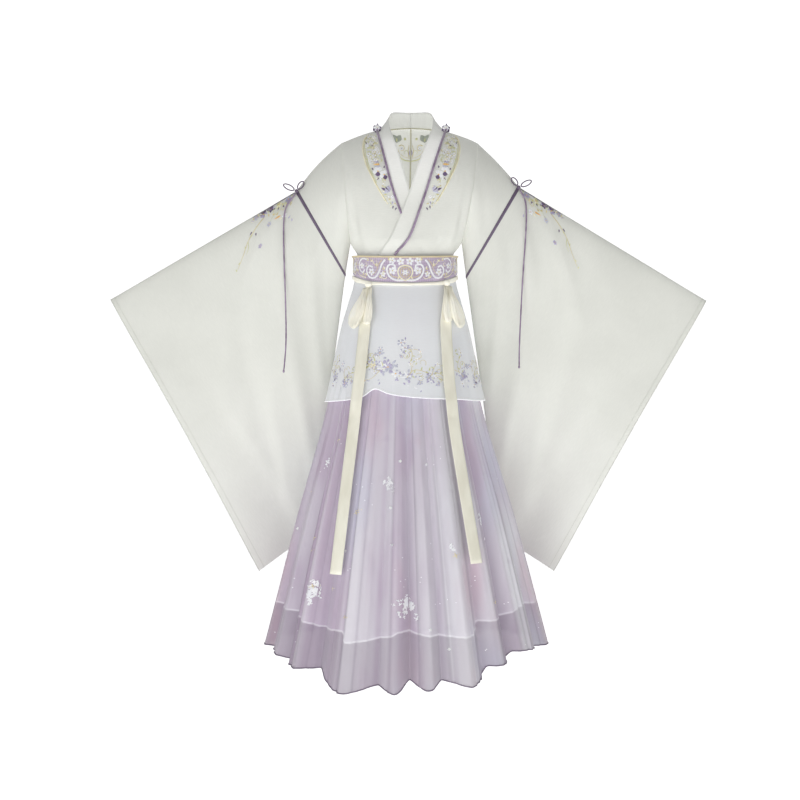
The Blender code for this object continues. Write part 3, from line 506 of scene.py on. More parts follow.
SLEEVE_TIES = {
    "right": ((-0.276, -0.164), (-0.286, -0.178), (-0.291, -0.198), (-0.2925, -0.225),
              (-0.2925, -0.26), (-0.2915, -0.31), (-0.2895, -0.39), (-0.288, -0.46),
              (-0.2885, -0.505), (-0.2915, -0.545), (-0.2935, -0.564)),
    "left": ((0.265, -0.154), (0.27, -0.168), (0.2715, -0.185), (0.2712, -0.22), (0.269, -0.26),
             (0.266, -0.31), (0.2625, -0.38), (0.2585, -0.46), (0.2565, -0.51), (0.256, -0.554)),
}
sleeve_knots = {}
for side, word in SIDE_NAMES.items():
    out = sleeve_normal(side, 0.0, KNOT_DOWN)
    off_sleeve = WALL + LIFT + BAND_GAP + SLEEVE_KNOT_SIZE[1] / 2
    knot = sleeve_point(side, 0.0, KNOT_DOWN, FRONT) + out * off_sleeve
    sleeve_knots[side] = knot
    start = knot + Vector((side * 0.002, -0.0005, -SLEEVE_KNOT_SIZE[2] / 2 - 0.0006))
    route = [start]
    for x, z in SLEEVE_TIES[word]:
        along, down = sleeve_spot(side, x, z)
        front = sleeve_point(side, along, down, FRONT).y - TIE_CLEAR - SLEEVE_TIE / 2
        route.append(Vector((x, min(front, knot.y - 0.0005), z)))
    line = smooth_line(route, 1.5 * SLEEVE_TIE)
    tie = tube("sleeve_cord_" + word, line, SLEEVE_TIE / 2 * 0.92, plum_satin,
               ("sleeve_tie_" + word,), ribs=2, twist=900)
    length = sum((b - a).length for a, b in zip(line, line[1:]))
    end = wound_knot("sleeve_cord_end_" + word, line[-1], (END_KNOT, END_KNOT, END_KNOT * 1.3),
                     plum_satin, turns=2, segments=12, rings=8)

# The top's body

# Two fronts and two backs of sheer ivory gauze with a centre-back seam. The wearer's left front crosses over
# the right one and both run down under the belt. The cloth turns over the shoulders with no seam in sight.
BODICE_HEM = -0.322
WAIST_TOP = -0.3
ARMPIT = -0.266
SHOULDER_HALF = 0.1585
SHOULDER_DROP = 0.028
SHOULDER_BEND = 1.3
SHOULDER_ROLL = 0.15
ELLIPSE_HEIGHT = 0.05
OVER_LIFT = 0.003
NECK_MIDDLE = 0.004
NECK_HALF = 0.081
NECK_BACK_DEPTH = 0.062
NECK_BACK_RISE = 0.014
BODY = Profile(
    "height middle half_width front back armhole",
    (-0.4, -0.01, 0.1096, 0.0792, 0.0792, 0.0), (-0.3, -0.01, 0.1096, 0.0792, 0.0792, 0.0),
    (-0.29, -0.0095, 0.113, 0.083, 0.082, 0.0), (-0.266, -0.008, 0.13, 0.097, 0.089, 0.0),
    (-0.262, -0.0078, 0.131, 0.098, 0.0895, 0.01), (-0.248, -0.007, 0.1335, 0.1, 0.091, 0.03),
    (-0.2, -0.004, 0.1405, 0.1045, 0.095, 0.062), (-0.12, -0.001, 0.15, 0.106, 0.098, 0.083),
    (-0.028, 0.0, 0.1585, 0.1, 0.098, 0.076), (0.06, 0.0, 0.16, 0.095, 0.095, 0.07),
)
NECKLINE = Profile(
    "height seam free",
    (-0.4, -0.045, -0.083), (-0.33, -0.043, -0.081), (-0.2956, -0.0335, -0.0716), (-0.256, -0.001, -0.045),
    (-0.2, 0.0205, -0.02), (-0.15, 0.0379, 0.0), (-0.1, 0.0525, 0.0152), (-0.05, 0.0665, 0.031),
    (0.0, 0.081, 0.048),
)
# Soft creases of the body, in the front view: from one place to another, with half width and height
BODY_CREASES = (
    # x, z, x, z, half width, height
    (0.128, -0.175, 0.1, -0.3, 0.007, -0.003), (0.11, -0.2, 0.084, -0.3, 0.006, 0.0022),
    (0.14, -0.09, 0.116, -0.22, 0.008, -0.0026), (0.052, -0.235, 0.088, -0.3, 0.005, -0.002),
    (0.02, -0.25, 0.06, -0.31, 0.0045, 0.0016), (0.108, -0.05, 0.092, -0.17, 0.009, -0.0016),
    (-0.136, -0.16, -0.112, -0.3, 0.0075, -0.003), (-0.118, -0.19, -0.096, -0.3, 0.006, 0.0022),
    (-0.142, -0.08, -0.124, -0.21, 0.008, -0.0026), (-0.06, -0.225, -0.086, -0.3, 0.0055, -0.002),
    (-0.104, -0.05, -0.09, -0.18, 0.009, -0.0016), (-0.03, -0.215, -0.06, -0.29, 0.006, 0.0014),
)


def shoulder_height(x):
    reach = clamp((abs(x) - NECK_HALF + NECK_MIDDLE) / (SHOULDER_HALF - NECK_HALF + NECK_MIDDLE))
    return -SHOULDER_DROP * reach**SHOULDER_BEND


def body_point(x, z, face):
    """A point of the top's outer surface: an ellipse at the waist, squarer above, rolled at the shoulder."""
    size = BODY.read(z)
    across = clamp(abs(x - size["middle"]) / size["half_width"])
    depth = size["front"] if face == FRONT else size["back"]
    square = smooth((z - WAIST_TOP) / ELLIPSE_HEIGHT)
    bulge = (1 - across ** mix(2.0, 2.3, square)) ** mix(0.5, 0.55, square)
    y = size["armhole"] + (depth - size["armhole"]) * bulge
    top = shoulder_height(x)
    top_y = 0.0
    if face == BACK:
        inside = clamp(1 - ((x - NECK_MIDDLE) / NECK_HALF) ** 2)
        top = top + NECK_BACK_RISE * inside
        top_y = NECK_BACK_DEPTH * inside**0.5
    roll = 1 - clamp((top - z) / SHOULDER_ROLL)
    y = top_y + (y - top_y) * sqrt(1 - roll * roll)
    return Vector((x, face * y, z))


def side_point(share, side, face, out=0.0):
    """A point on the side seam or armhole, at a share of the way from the hem up to the shoulder."""
    x = side * 0.15
    for _ in range(8):
        z = BODICE_HEM + share * (shoulder_height(x) - BODICE_HEM)
        size = BODY.read(z)
        x = size["middle"] + side * size["half_width"]
    point = body_point(x, z, face)
    point.x += side * out
    return point


def neck_shift(z):
    return NECK_MIDDLE * smooth(1 + z / 0.15)


def over_lift(x, z, side):
    """How far the upper front stands off the lower one: nothing at its own side seam and shoulder."""
    size = BODY.read(z)
    across = (x - size["middle"]) / size["half_width"] * side
    return OVER_LIFT * smooth((1 - across) / 0.12) * smooth(-z / 0.06)


def chest_point(x, z, lift):
    """A point of the front, moved out along the front's normal."""
    step = 0.002
    here = body_point(x, z, FRONT)
    if lift == 0:
        return here
    right = body_point(x + step, z, FRONT) - body_point(x - step, z, FRONT)
    up = here - body_point(x, z - step, FRONT)
    return here + right.cross(up).normalized() * lift


ARMPIT_SHARE = (ARMPIT - BODICE_HEM) / (-SHOULDER_DROP - BODICE_HEM)


def seam_height(share):
    """The height at which a panel's row meets the collar seam; the seam reaches the shoulder at height 0."""
    return BODICE_HEM * (1 - share)


def panel_shares(count):
    """Shares of the way up a panel, closer together at the shoulder and the armpit."""
    upper = [ARMPIT_SHARE + (1 - ARMPIT_SHARE) * (1 - cos(pi * k / count)) / 2 for k in range(count + 1)]
    return [ARMPIT_SHARE * k / 5 for k in range(5)] + upper


def crease_fade(x, z, side):
    """Creases die out at the collar seam, the armhole, the shoulder and under the belt."""
    size = BODY.read(z)
    from_side = 1 - abs(x - size["middle"]) / size["half_width"]
    from_seam = (x - neck_shift(z)) * side - NECKLINE.read(z)["seam"]
    return smooth(from_side / 0.08) * smooth((from_seam - 0.006) / 0.02) * smooth((z + 0.3) / 0.02)


def front_rows(side, over):
    rows = []
    for share in panel_shares(30):
        z_seam = seam_height(share)
        x_seam = side * NECKLINE.read(z_seam)["seam"] + neck_shift(z_seam)
        x_side = side_point(share, side, FRONT).x
        row = []
        for k in range(31):
            x = mix(x_seam, x_side, sin(pi / 2 * k / 30))
            z = BODICE_HEM + share * (shoulder_height(x) - BODICE_HEM)
            if k == 30:
                row.append(side_point(share, side, FRONT))
                continue
            lift = (over_lift(x, z, side) if over else 0.0) - 0.0003
            lift += crease_height(BODY_CREASES, x, z) * crease_fade(x, z, side)
            row.append(chest_point(x, z, lift))
        rows.append(row)
    return rows


BACK_CREASES = (
    # x, z, x, z, half width, height
    (0.02, -0.14, 0.06, -0.3, 0.008, -0.0028), (-0.016, -0.15, -0.062, -0.3, 0.0085, -0.0028),
    (0.124, -0.15, 0.094, -0.3, 0.007, -0.0026), (-0.13, -0.16, -0.1, -0.3, 0.0072, -0.0026),
    (0.09, -0.06, 0.1, -0.21, 0.01, 0.002), (-0.086, -0.06, -0.104, -0.2, 0.01, 0.002),
)


def back_rows(side):
    rows = []
    for share in panel_shares(30):
        x_side = side_point(share, side, BACK).x
        middle = mix(BODY.read(seam_height(share))["middle"], NECK_MIDDLE, smooth(share))
        row = []
        for k in range(31):
            across = sin(pi / 2 * k / 30)
            x = mix(middle, x_side, across)
            rise = NECK_BACK_RISE * clamp(1 - ((x - NECK_MIDDLE) / NECK_HALF) ** 2)
            z = BODICE_HEM + share * (shoulder_height(x) + rise - BODICE_HEM)
            if k == 30:
                row.append(side_point(share, side, BACK))
                continue
            point = body_point(x, z, BACK)
            point.y += crease_height(BACK_CREASES, x, z) * smooth((z + 0.3) / 0.02) * smooth((1 - across) / 0.06)
            row.append(point)
        rows.append(row)
    return rows


def cloth(name, rows, finish, outside, closed=False, wall=None, replaced=(), marks=None):
    """A sheet through rows of points, with its own UV map in metres; outside(point) leads off the wearer."""
    points = [Vector(p) for row in rows for p in row]
    wide = len(rows[0])
    laid, down = [], 0.0
    for i, row in enumerate(rows):
        if i:
            down += sum((a - b).length for a, b in zip(row, rows[i - 1])) / wide
        across = 0.0
        for k, p in enumerate(row):
            across += (p - row[k - 1]).length if k else 0.0
            laid.append((across, down))
    faces = grid_faces(len(rows), wide, closed_across=closed)
    facing = 0.0
    for a, b, c, d in faces:
        normal = (points[c] - points[a]).cross(points[d] - points[b])
        facing += normal.dot(outside((points[a] + points[c]) / 2))
    if facing < 0:
        faces = [face[::-1] for face in faces]
    made = add_piece(name, points, faces, [finish], replaced, laid=laid)
    for word, values in (marks or {}).items():
        made.data.attributes.new(word, "FLOAT", "POINT").data.foreach_set("value", values)
    if wall:
        shell = made.modifiers.new("wall", "SOLIDIFY")
        shell.thickness = wall
        shell.offset = -1
    # Light passes through gauze and chiffon, so they throw no shadow
    made.visible_shadow = finish.opaque
    return made


def from_front(point):
    return FRONTWARD


def from_axis(point):
    return Vector((point.x, point.y, 0.0))


def gauze_dye(name, base, shade, alpha, **constants):
    """Sheer gauze: slight slubs in its colour, see-through, a plain weave and faint crinkles in the bump."""
    made = Dye(name, base, 0.72, Sheen_Weight=0.2, **constants)
    slub = made.cloud(made.stretched(made.cut, (1.0, 9.0, 1.0)), 60.0, 0.35, 0.75)
    cloud = made.cloud(made.where, 7.0)
    made.feed("Base Color", made.blend(slub * 0.3 + cloud * 0.5, base, shade))
    made.feed("Alpha", slub * 0.04 + (alpha - 0.02))
    made.opaque = False
    made.feed("Roughness", slub * 0.1 + 0.72)
    crinkle = made.noise(made.stretched(made.where, (1.0, 1.0, 0.5)), 55.0, 4.0)
    made.weave(0.0009, 0.00035, 0.3, extra=crinkle * 3.0)
    return made


ivory_gauze = gauze_dye("ivory_gauze", (232, 233, 226), (221, 222, 215), 0.87)
# Painted light: the long drop of the sleeves is painted paler than the yoke, to lift the shade that falls on its
# lower parts
patches = ivory_gauze.cloud(ivory_gauze.where, 7.0) * 0.5
yoke_tone = ivory_gauze.blend(patches, (227, 228, 221), (217, 218, 211))
painted_light_drop_tone = ivory_gauze.blend(patches, (252, 253, 247), (244, 245, 238))
ivory_gauze.feed("Base Color", ivory_gauze.blend(ivory_gauze.height(-0.48, -1.0), yoke_tone, painted_light_drop_tone))
body_cloths = {}
for node, side, rows, outside, flat in (
    ("front_over", 1, front_rows(1, True), from_front, (0.21, 0.33)),
    ("front_under", -1, front_rows(-1, False), from_front, (0.21, 0.33)),
    ("back_left", 1, back_rows(1), from_axis, (0.19, 0.33)),
    ("back_right", -1, back_rows(-1), from_axis, (0.19, 0.33)),
):
    made = cloth(node + "_gauze", rows, ivory_gauze, outside, replaced=(node,))
    0.8 * flat[0] * flat[1]
    body_cloths[node] = made

# Collar bands

# A straight band of doubled gauze, about 37 mm wide, is sewn round the neckline and stands up at the back of
# the neck. Its two ends cross on the chest and run under the belt.
NECK_BACK = (
    # angle, free x, free y, free z
    (8, 0.052, 0.006, 0.029), (30, 0.05, 0.023, 0.043), (52, 0.041, 0.037, 0.051), (72, 0.023, 0.046, 0.0525),
    (90, 0.0, 0.0495, 0.0525),
)
NECK_SIDE = Profile(
    "seam_height free_x free_y free_z standing",
    (-0.08, 0.025, -0.08, -0.076, 0.0), (-0.05, 0.033, -0.066, -0.045, 0.5),
    (-0.028, 0.042, -0.046, -0.018, 1.0), (-0.01, 0.0495, -0.022, 0.006, 1.0),
    (0.0, 0.0515, -0.006, 0.02, 1.0),
)
BAND_COLUMNS = 6


def band_rows(side, over):
    rows = []
    for share in panel_shares(26):
        z = seam_height(share)
        edge = NECKLINE.read(z)
        shift = neck_shift(z)
        x_seam = side * (edge["seam"] - BAND_GAP / 2) + shift
        x_free = side * edge["free"] + shift
        stand = NECK_SIDE.read(z) if z > -0.08 else None
        row = []
        for k in range(BAND_COLUMNS + 1):
            share_in = k / BAND_COLUMNS
            x = mix(x_seam, x_free, share_in)
            point = chest_point(x, z, over_lift(x, z, side) if over else 0.0)
            if stand:
                start = chest_point(x_seam, z, over_lift(x_seam, z, side) if over else 0.0)
                free = Vector((side * stand["free_x"] + shift, stand["free_y"], stand["free_z"]))
                point = mix(point, mix(start, free, share_in), stand["standing"])
            row.append(point)
        rows.append(row)
    seams, frees = [rows[-1][0]], [rows[-1][-1]]
    for angle, x, y, z in NECK_BACK:
        turn = radians(angle)
        seams.append(Vector((
            side * (NECK_HALF - BAND_GAP / 2) * cos(turn) + NECK_MIDDLE,
            (NECK_BACK_DEPTH - BAND_GAP / 2) * sin(turn),
            NECK_BACK_RISE * sin(turn) ** 2 + 2 * BAND_GAP,
        )))
        frees.append(Vector((side * x + NECK_MIDDLE, y, z)))
    for i in range(1, len(seams)):
        for step in (0.25, 0.5, 0.75, 1.0):
            ends = []
            for line in (seams, frees):
                near = [line[min(max(i + n, 0), len(line) - 1)] for n in (-2, -1, 0, 1)]
                ends.append(curve_step(*near, step))
            rows.append([mix(*ends, k / BAND_COLUMNS) for k in range(BAND_COLUMNS + 1)])
    return rows


def into_neck(point):
    return Vector((NECK_MIDDLE - point.x, -point.y, 0))


def from_neck(point):
    return -into_neck(point) if point.z > -0.02 else FRONTWARD


# Painted light and shade: the band glows faintly, and its tone by height is painted, palest at the sides of the
# neck where shade falls between collar and body, darker low on the chest and at the top of the neck where more
# light falls
band_gauze = gauze_dye("doubled_gauze", (244, 245, 240), (234, 236, 230), 0.95,
                       Emission_Color=(1, 1, 0.97, 1), Emission_Strength=0.06)
painted_light_band_tone = band_gauze.blend(band_gauze.height(-0.2, -0.05), (221, 222, 216), (254, 254, 251))
painted_light_band_tone = band_gauze.blend(band_gauze.height(-0.04, -0.004), painted_light_band_tone, (228, 229, 224))
band_gauze.feed("Base Color", painted_light_band_tone)
bands = {}
for word, side in (("over", 1), ("under", -1)):
    rows = band_rows(side, word == "over")
    band = cloth("collar_" + word + "_band", rows, band_gauze, from_neck, wall=0.0006,
                 replaced=("collar_" + word,))
    bands[word] = rows


def welt(name, line, width, finish, out=from_front, outside=from_front):
    """A narrow raised strip along a line: out(p) is the way off the cloth, and its edges touch the cloth."""
    line = [Vector(p) for p in line]
    rows = []
    for i, p in enumerate(line):
        away = out(p).normalized()
        across = way_at(line, i).cross(away).normalized() * (width / 2)
        low, high = away * 0.0001, away * 0.0007
        rows.append([p - across + low, p - across * 0.6 + high, p + across * 0.6 + high, p + across + low])
    return cloth(name, rows, finish, outside)


seam_thread = thread_dye("seam_welt", (196, 194, 168), 0.7, 90.0, (176, 174, 146), (214, 212, 190))
back_seam = [row[0] + Vector((0, -0.0012, 0)) for row in back_rows(1)][4:]
welt("back_seam_welt", back_seam, 0.0032, seam_thread)
neck_line = [row[0] for row in bands["over"][-20:]] + [row[0] for row in bands["under"][-20:]][::-1]
neck_line = [p + into_neck(p).normalized() * 0.0016 + Vector((0, 0, 0.0008)) for p in neck_line]
welt("neck_seam_welt", neck_line, 0.0034, seam_thread,
     lambda p: Vector((NECK_MIDDLE, -0.02, 0.02)) - p, into_neck)

# Piping and flower knots

# A rolled plum satin piping covers each collar seam. Where the pipings reach the shoulders a small flower of
# white and plum satin petals is sewn on.
PIPING_RADIUS = 0.0025
for word, side, lowest in (("over", 1, -0.297), ("under", -1, -0.205)):
    line = []
    for share in [k / 60 for k in range(61)]:
        z = seam_height(share)
        if z < lowest or share > 0.99:
            continue
        x = side * NECKLINE.read(z)["seam"] + neck_shift(z)
        line.append(chest_point(x, z, (over_lift(x, z, side) if word == "over" else 0.0) + 0.0019))
    tube("piping_" + word + "_roll", line, PIPING_RADIUS, plum_satin,
         ("piping_" + word,), around=8)

# Below the crossing the lower piping lies flat between the two fronts and shows faintly through the gauze
hidden = []
for z in [-0.2 - 0.092 * k / 20 for k in range(21)]:
    x = neck_shift(z) - NECKLINE.read(z)["seam"]
    hidden.append(chest_point(x, z, 0.001))
welt("piping_under_lower", hidden, 0.0044, dark_satin)
STITCH_FOOT = 0.0002


class Needlework:
    """Satin-stitch shapes in one mesh, each drawn flat and laid on the cloth by place(a, b, lift)."""

    def __init__(self, name):
        self.name = name
        self.place = None
        self.flipped = False
        self.points, self.faces, self.marks, self.finishes = [], [], [], []

    def lay(self, flat, faces, thread):
        """Adds one shape, or nothing where a point of it falls off the cloth."""
        laid = [self.place(*p) for p in flat]
        if any(p is None for p in laid):
            return
        if thread not in self.finishes:
            self.finishes.append(thread)
        first = len(self.points)
        self.points += laid
        way = -1 if self.flipped else 1
        self.faces += [tuple(first + k for k in face[::way]) for face in faces]
        self.marks += [self.finishes.index(thread)] * len(faces)

    def ridge(self, a, b, way, half, height):
        """Three points across a stem or leaf that runs along a way: two feet and the raised middle."""
        feet = ((-half, STITCH_FOOT), (0, height), (half, STITCH_FOOT))
        return [(a - way[1] * aside, b + way[0] * aside, lift) for aside, lift in feet]

    def leaf(self, a, b, angle, length, width, thread, height=0.0009, blunt=0.6):
        """A petal or leaf from its base at a, b: blunt above 1 is widest near the tip, below 1 near the base."""
        way = (cos(radians(angle)), sin(radians(angle)))
        flat = [(a, b, STITCH_FOOT)]
        steps = 4
        for k in range(1, steps + 1):
            t = k / (steps + 0.6)
            half = width / 2 * sin(pi * t**blunt)
            flat += self.ridge(a + way[0] * length * t, b + way[1] * length * t, way, half, height)
        flat.append((a + way[0] * length, b + way[1] * length, STITCH_FOOT))
        faces = [(0, 1, 2), (0, 2, 3)]
        for k in range(steps - 1):
            for j in (1, 2):
                faces.append((3 * k + j, 3 * k + j + 3, 3 * k + j + 4, 3 * k + j + 1))
        last = 3 * (steps - 1)
        faces += [(last + 1, len(flat) - 1, last + 2), (last + 2, len(flat) - 1, last + 3)]
        self.lay(flat, faces, thread)

    def dot(self, a, b, radius, thread, height=0.001):
        flat = [(a, b, height)]
        for turn in [2 * pi * k / 8 for k in range(8)]:
            flat.append((a + radius * cos(turn), b + radius * sin(turn), STITCH_FOOT))
        self.lay(flat, [(0, k, k % 8 + 1) for k in range(1, 9)], thread)

    def blossom(self, a, b, radius, thread, heart, turn=0.0, wide=1.0, second=None):
        """An open flower: five petals round a raised heart, the lower ones in a second thread if given."""
        for k in range(5):
            angle = turn + 72 * k
            low = second is not None and sin(radians(angle)) < -0.2
            self.leaf(a, b, angle, radius, wide * radius * 0.74, second if low else thread, blunt=1.35)
        self.dot(a, b, radius * 0.2, heart, 0.0014)

    def vine(self, route, width, thread, height=0.0007, taper=True):
        """A stem in stem stitch along a smooth route of places."""
        line = smooth_line([(a, b, 0) for a, b in route], width * 1.6)
        flat, faces = [], []
        for i, p in enumerate(line):
            thin = mix(1.0, 0.35, i / len(line)) if taper else 1.0
            flat += self.ridge(p.x, p.y, way_at(line, i), width / 2 * thin, height)
            if i:
                base = 3 * (i - 1)
                faces += [(base, base + 3, base + 4, base + 1), (base + 1, base + 4, base + 5, base + 2)]
        self.lay(flat, faces, thread)

    def curl(self, a, b, radius, start, sweep, width, thread):
        """A scroll that winds in on itself from its outer end."""
        route = []
        for share in [k / 8 for k in range(9)]:
            turn = radians(start + sweep * share)
            reach = radius * mix(1.0, 0.45, share)
            route.append((a + reach * cos(turn), b + reach * sin(turn)))
        self.vine(route, width, thread)

    def finish(self, slot):
        add_piece(self.name, self.points, self.faces, self.finishes, marks=self.marks)


def silk(name, light, dark, roughness=0.45):
    """Embroidery silk: its colour runs from light to dark in fine strands, with a soft sheen."""
    made = Dye(name, light, roughness, Sheen_Weight=0.3)
    strand = made.cloud(made.stretched(made.where, (1.0, 1.0, 3.0)), 420.0, 0.35, 0.65, 2.0)
    shade = made.cloud(made.where, 45.0, 0.35, 0.65)
    made.feed("Base Color", made.blend(strand * 0.5 + shade * 0.5, light, dark))
    made.feed("Roughness", strand * 0.2 + roughness)
    values = {"Height": strand, "Strength": 0.4, "Distance": 0.0002}
    made.feed("Normal", made.node("ShaderNodeBump", {}, values))
    return made


white_silk = silk("white_silk", (250, 250, 250), (226, 228, 234))
cream_silk = silk("cream_silk", (244, 240, 216), (226, 220, 186))
gold_silk = silk("gold_silk", (226, 214, 162), (196, 180, 118), 0.38)
amber_silk = silk("amber_silk", (244, 206, 134), (222, 170, 96), 0.38)
lilac_silk = silk("lilac_silk", (200, 194, 218), (154, 146, 182))
grey_silk = silk("grey_lilac_silk", (208, 210, 222), (172, 172, 192))
plum_silk = silk("plum_silk", (118, 98, 134), (72, 54, 86))
leaf_silk = silk("leaf_silk", (222, 222, 176), (188, 190, 134))
sage_silk = silk("sage_silk", (182, 188, 178), (134, 142, 132))

NECK_KNOT_HEIGHT = -0.0055
NECK_KNOT_SIZE = (0.0085, 0.0068, 0.0085)
for side, word in SIDE_NAMES.items():
    x = side * NECKLINE.read(NECK_KNOT_HEIGHT)["seam"] + neck_shift(NECK_KNOT_HEIGHT)
    heart = chest_point(x, NECK_KNOT_HEIGHT, 0.008)
    flower = Needlework("neck_flower_" + word)
    for layer, (count, reach, lean, thread) in enumerate((
        (6, 0.0108, 0.0, plum_silk), (6, 0.0084, 0.5, white_silk), (5, 0.0056, 0.25, white_silk),
    )):
        flower.place = lambda a, b, lift, layer=layer: heart + Vector((
            a, 0.0016 - 0.0012 * layer - 2.2 * lift + 16.0 * (a * a + b * b), b + 0.0012 * layer))
        for k in range(count):
            flower.leaf(0, 0, 360 * (k + lean) / count + 20, reach, reach * 0.95, thread, 0.001, 1.2)
    flower.dot(0, 0, 0.0018, gold_silk, 0.0012)
    for a, b, turn in ((0.005, -0.0034, -40), (-0.0046, -0.004, 220), (0.0008, 0.0062, 80)):
        flower.leaf(a, b, turn, 0.0042, 0.0026, plum_silk, 0.0012)
    flower.finish("purple_binding")
    wound_knot("neck_knot_seat_" + word, chest_point(x, NECK_KNOT_HEIGHT, 0.0062), NECK_KNOT_SIZE, plum_satin,
               ("neck_knot_" + word,), segments=14, rings=10)

# Sleeves

# The upper sleeve runs from the armhole to a narrow plum binding, and a very wide sleeve of the same gauze is
# set on there. Each is one length of cloth folded along its top; the cuff has a hem one centimetre deep.
ARMHOLE_GAP = 0.0002
BINDING_WIDTH = 0.008
BINDING_LIFTS = (0.0004, 0.0016, 0.0019, 0.0016, 0.0004)
SLEEVE_ROWS = 44
SHOULDER_CROWN = {-1: 0.006, 1: 0.003}
PULLS = (
    # down, slant, half width, height
    (0.3, 0.35, 0.07, 0.0026), (0.62, 0.1, 0.06, -0.00208), (0.84, 0.0, 0.05, 0.00156),
)


def upper_sleeve_point(side, along, down, face, fine=False):
    """A point of the upper sleeve, from the armhole to the binding, rounded over the shoulder."""
    share = 1 - down * (1 - ARMPIT_SHARE)
    start = side_point(share, side, face, ARMHOLE_GAP) + Vector((0, face * FOLD_EDGE, 0))
    end = sleeve_point(side, 0.0, down, face)
    crown = Vector((side * 0.5, 0, 1)) * SHOULDER_CROWN[side] * sin(pi * along) * (1 - down) ** 2
    point = mix(start, end, along) + crown
    if fine:
        body = sin(pi * along) * sin(pi * down)
        for start_down, slant, width, height in PULLS:
            pull = exp(-(((down - start_down - slant * along) / width) ** 2))
            point.y -= face * height * pull * body
    return point


def sleeve_loops(point_at, side, sections, count, fine=True):
    """Closed loops round a sleeve, down its front and up its back."""
    downs = [(1 - cos(pi * k / count)) / 2 for k in range(count + 1)]
    rows = []
    for along in sections:
        front = [point_at(side, along, v, FRONT, fine) for v in downs]
        back = [point_at(side, along, v, BACK, fine) for v in downs]
        rows.append(front + back[::-1])
    return rows


def sleeve_outside(side):
    corner = SLEEVES[side]

    def outside(point):
        top = corner["binding_top"]
        share = clamp((top.z - point.z) / (top.z - corner["inner_bottom"].z))
        return Vector((0, point.y - 0.12 * share**1.6, 0))

    return outside


hem_thread = thread_dye("hem_thread", (206, 208, 200), 0.7, 60.0, (196, 198, 190), (222, 224, 216))


def running_stitch():
    """A node tree that lays round stitches along a line, a pitch apart."""
    tree = bpy.data.node_groups.new("running_stitch", "GeometryNodeTree")
    tree.interface.new_socket("Line", in_out="INPUT", socket_type="NodeSocketGeometry")
    for words in ("Pitch", "Half Length", "Radius"):
        tree.interface.new_socket(words, in_out="INPUT", socket_type="NodeSocketFloat")
    tree.interface.new_socket("Thread", in_out="INPUT", socket_type="NodeSocketMaterial")
    tree.interface.new_socket("Stitches", in_out="OUTPUT", socket_type="NodeSocketGeometry")
    given = tree.nodes.new("NodeGroupInput").outputs
    sizes = {"X": given["Radius"], "Y": given["Radius"], "Z": given["Half Length"]}
    route = put(tree, "GeometryNodeMeshToCurve", {}, {"Mesh": given["Line"]})[0]
    spaced = {"Curve": route, "Length": given["Pitch"]}
    points = put(tree, "GeometryNodeCurveToPoints", {"mode": "LENGTH"}, spaced)
    turned = put(tree, "FunctionNodeAlignRotationToVector", {"axis": "Z"}, {"Vector": points["Tangent"]})[0]
    placed = {
        "Points": points[0],
        "Instance": put(tree, "GeometryNodeMeshUVSphere", {}, {"Segments": 6, "Rings": 4, "Radius": 1.0})[0],
        "Rotation": turned,
        "Scale": put(tree, "ShaderNodeCombineXYZ", {}, sizes)[0],
    }
    stitches = put(tree, "GeometryNodeInstanceOnPoints", {}, placed)[0]
    real = put(tree, "GeometryNodeRealizeInstances", {}, {"Geometry": stitches})[0]
    coloured = put(tree, "GeometryNodeSetMaterial", {}, {"Geometry": real, "Material": given["Thread"]})[0]
    put(tree, "NodeGroupOutput", {}, {0: coloured})
    return tree


STITCHES = running_stitch()
STITCH_PITCH = 0.005
STITCH_HALF = 0.0021


def sew(name, line, thread, radius=0.0007):
    """A closed row of running stitches along a line."""
    mesh = bpy.data.meshes.new(name)
    mesh.from_pydata(line, [(k, (k + 1) % len(line)) for k in range(len(line))], [])
    made = add_object(name, mesh)
    modifier = made.modifiers.new("stitches", "NODES")
    modifier.node_group = STITCHES
    sizes = {"Pitch": STITCH_PITCH, "Half Length": STITCH_HALF, "Radius": radius, "Thread": thread.material}
    for item in STITCHES.interface.items_tree:
        if item.name in sizes:
            modifier[item.identifier] = sizes[item.name]
    sewn = bpy.data.meshes.new_from_object(made.evaluated_get(bpy.context.evaluated_depsgraph_get()))
    made.modifiers.remove(modifier)
    made.data = sewn
    sewn.materials.clear()
    sewn.materials.append(thread.material)
    sewn.polygons.foreach_set("material_index", [0] * len(sewn.polygons))
    sewn.shade_smooth()
    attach(made, "root")


def cuff_rows(side, sections, out):
    """Loops round the wide sleeve, moved off its front and its back."""
    rows = sleeve_loops(sleeve_point, side, sections, SLEEVE_ROWS)
    return [[p + FRONTWARD * (out if k <= SLEEVE_ROWS else -out) for k, p in enumerate(row)] for row in rows]


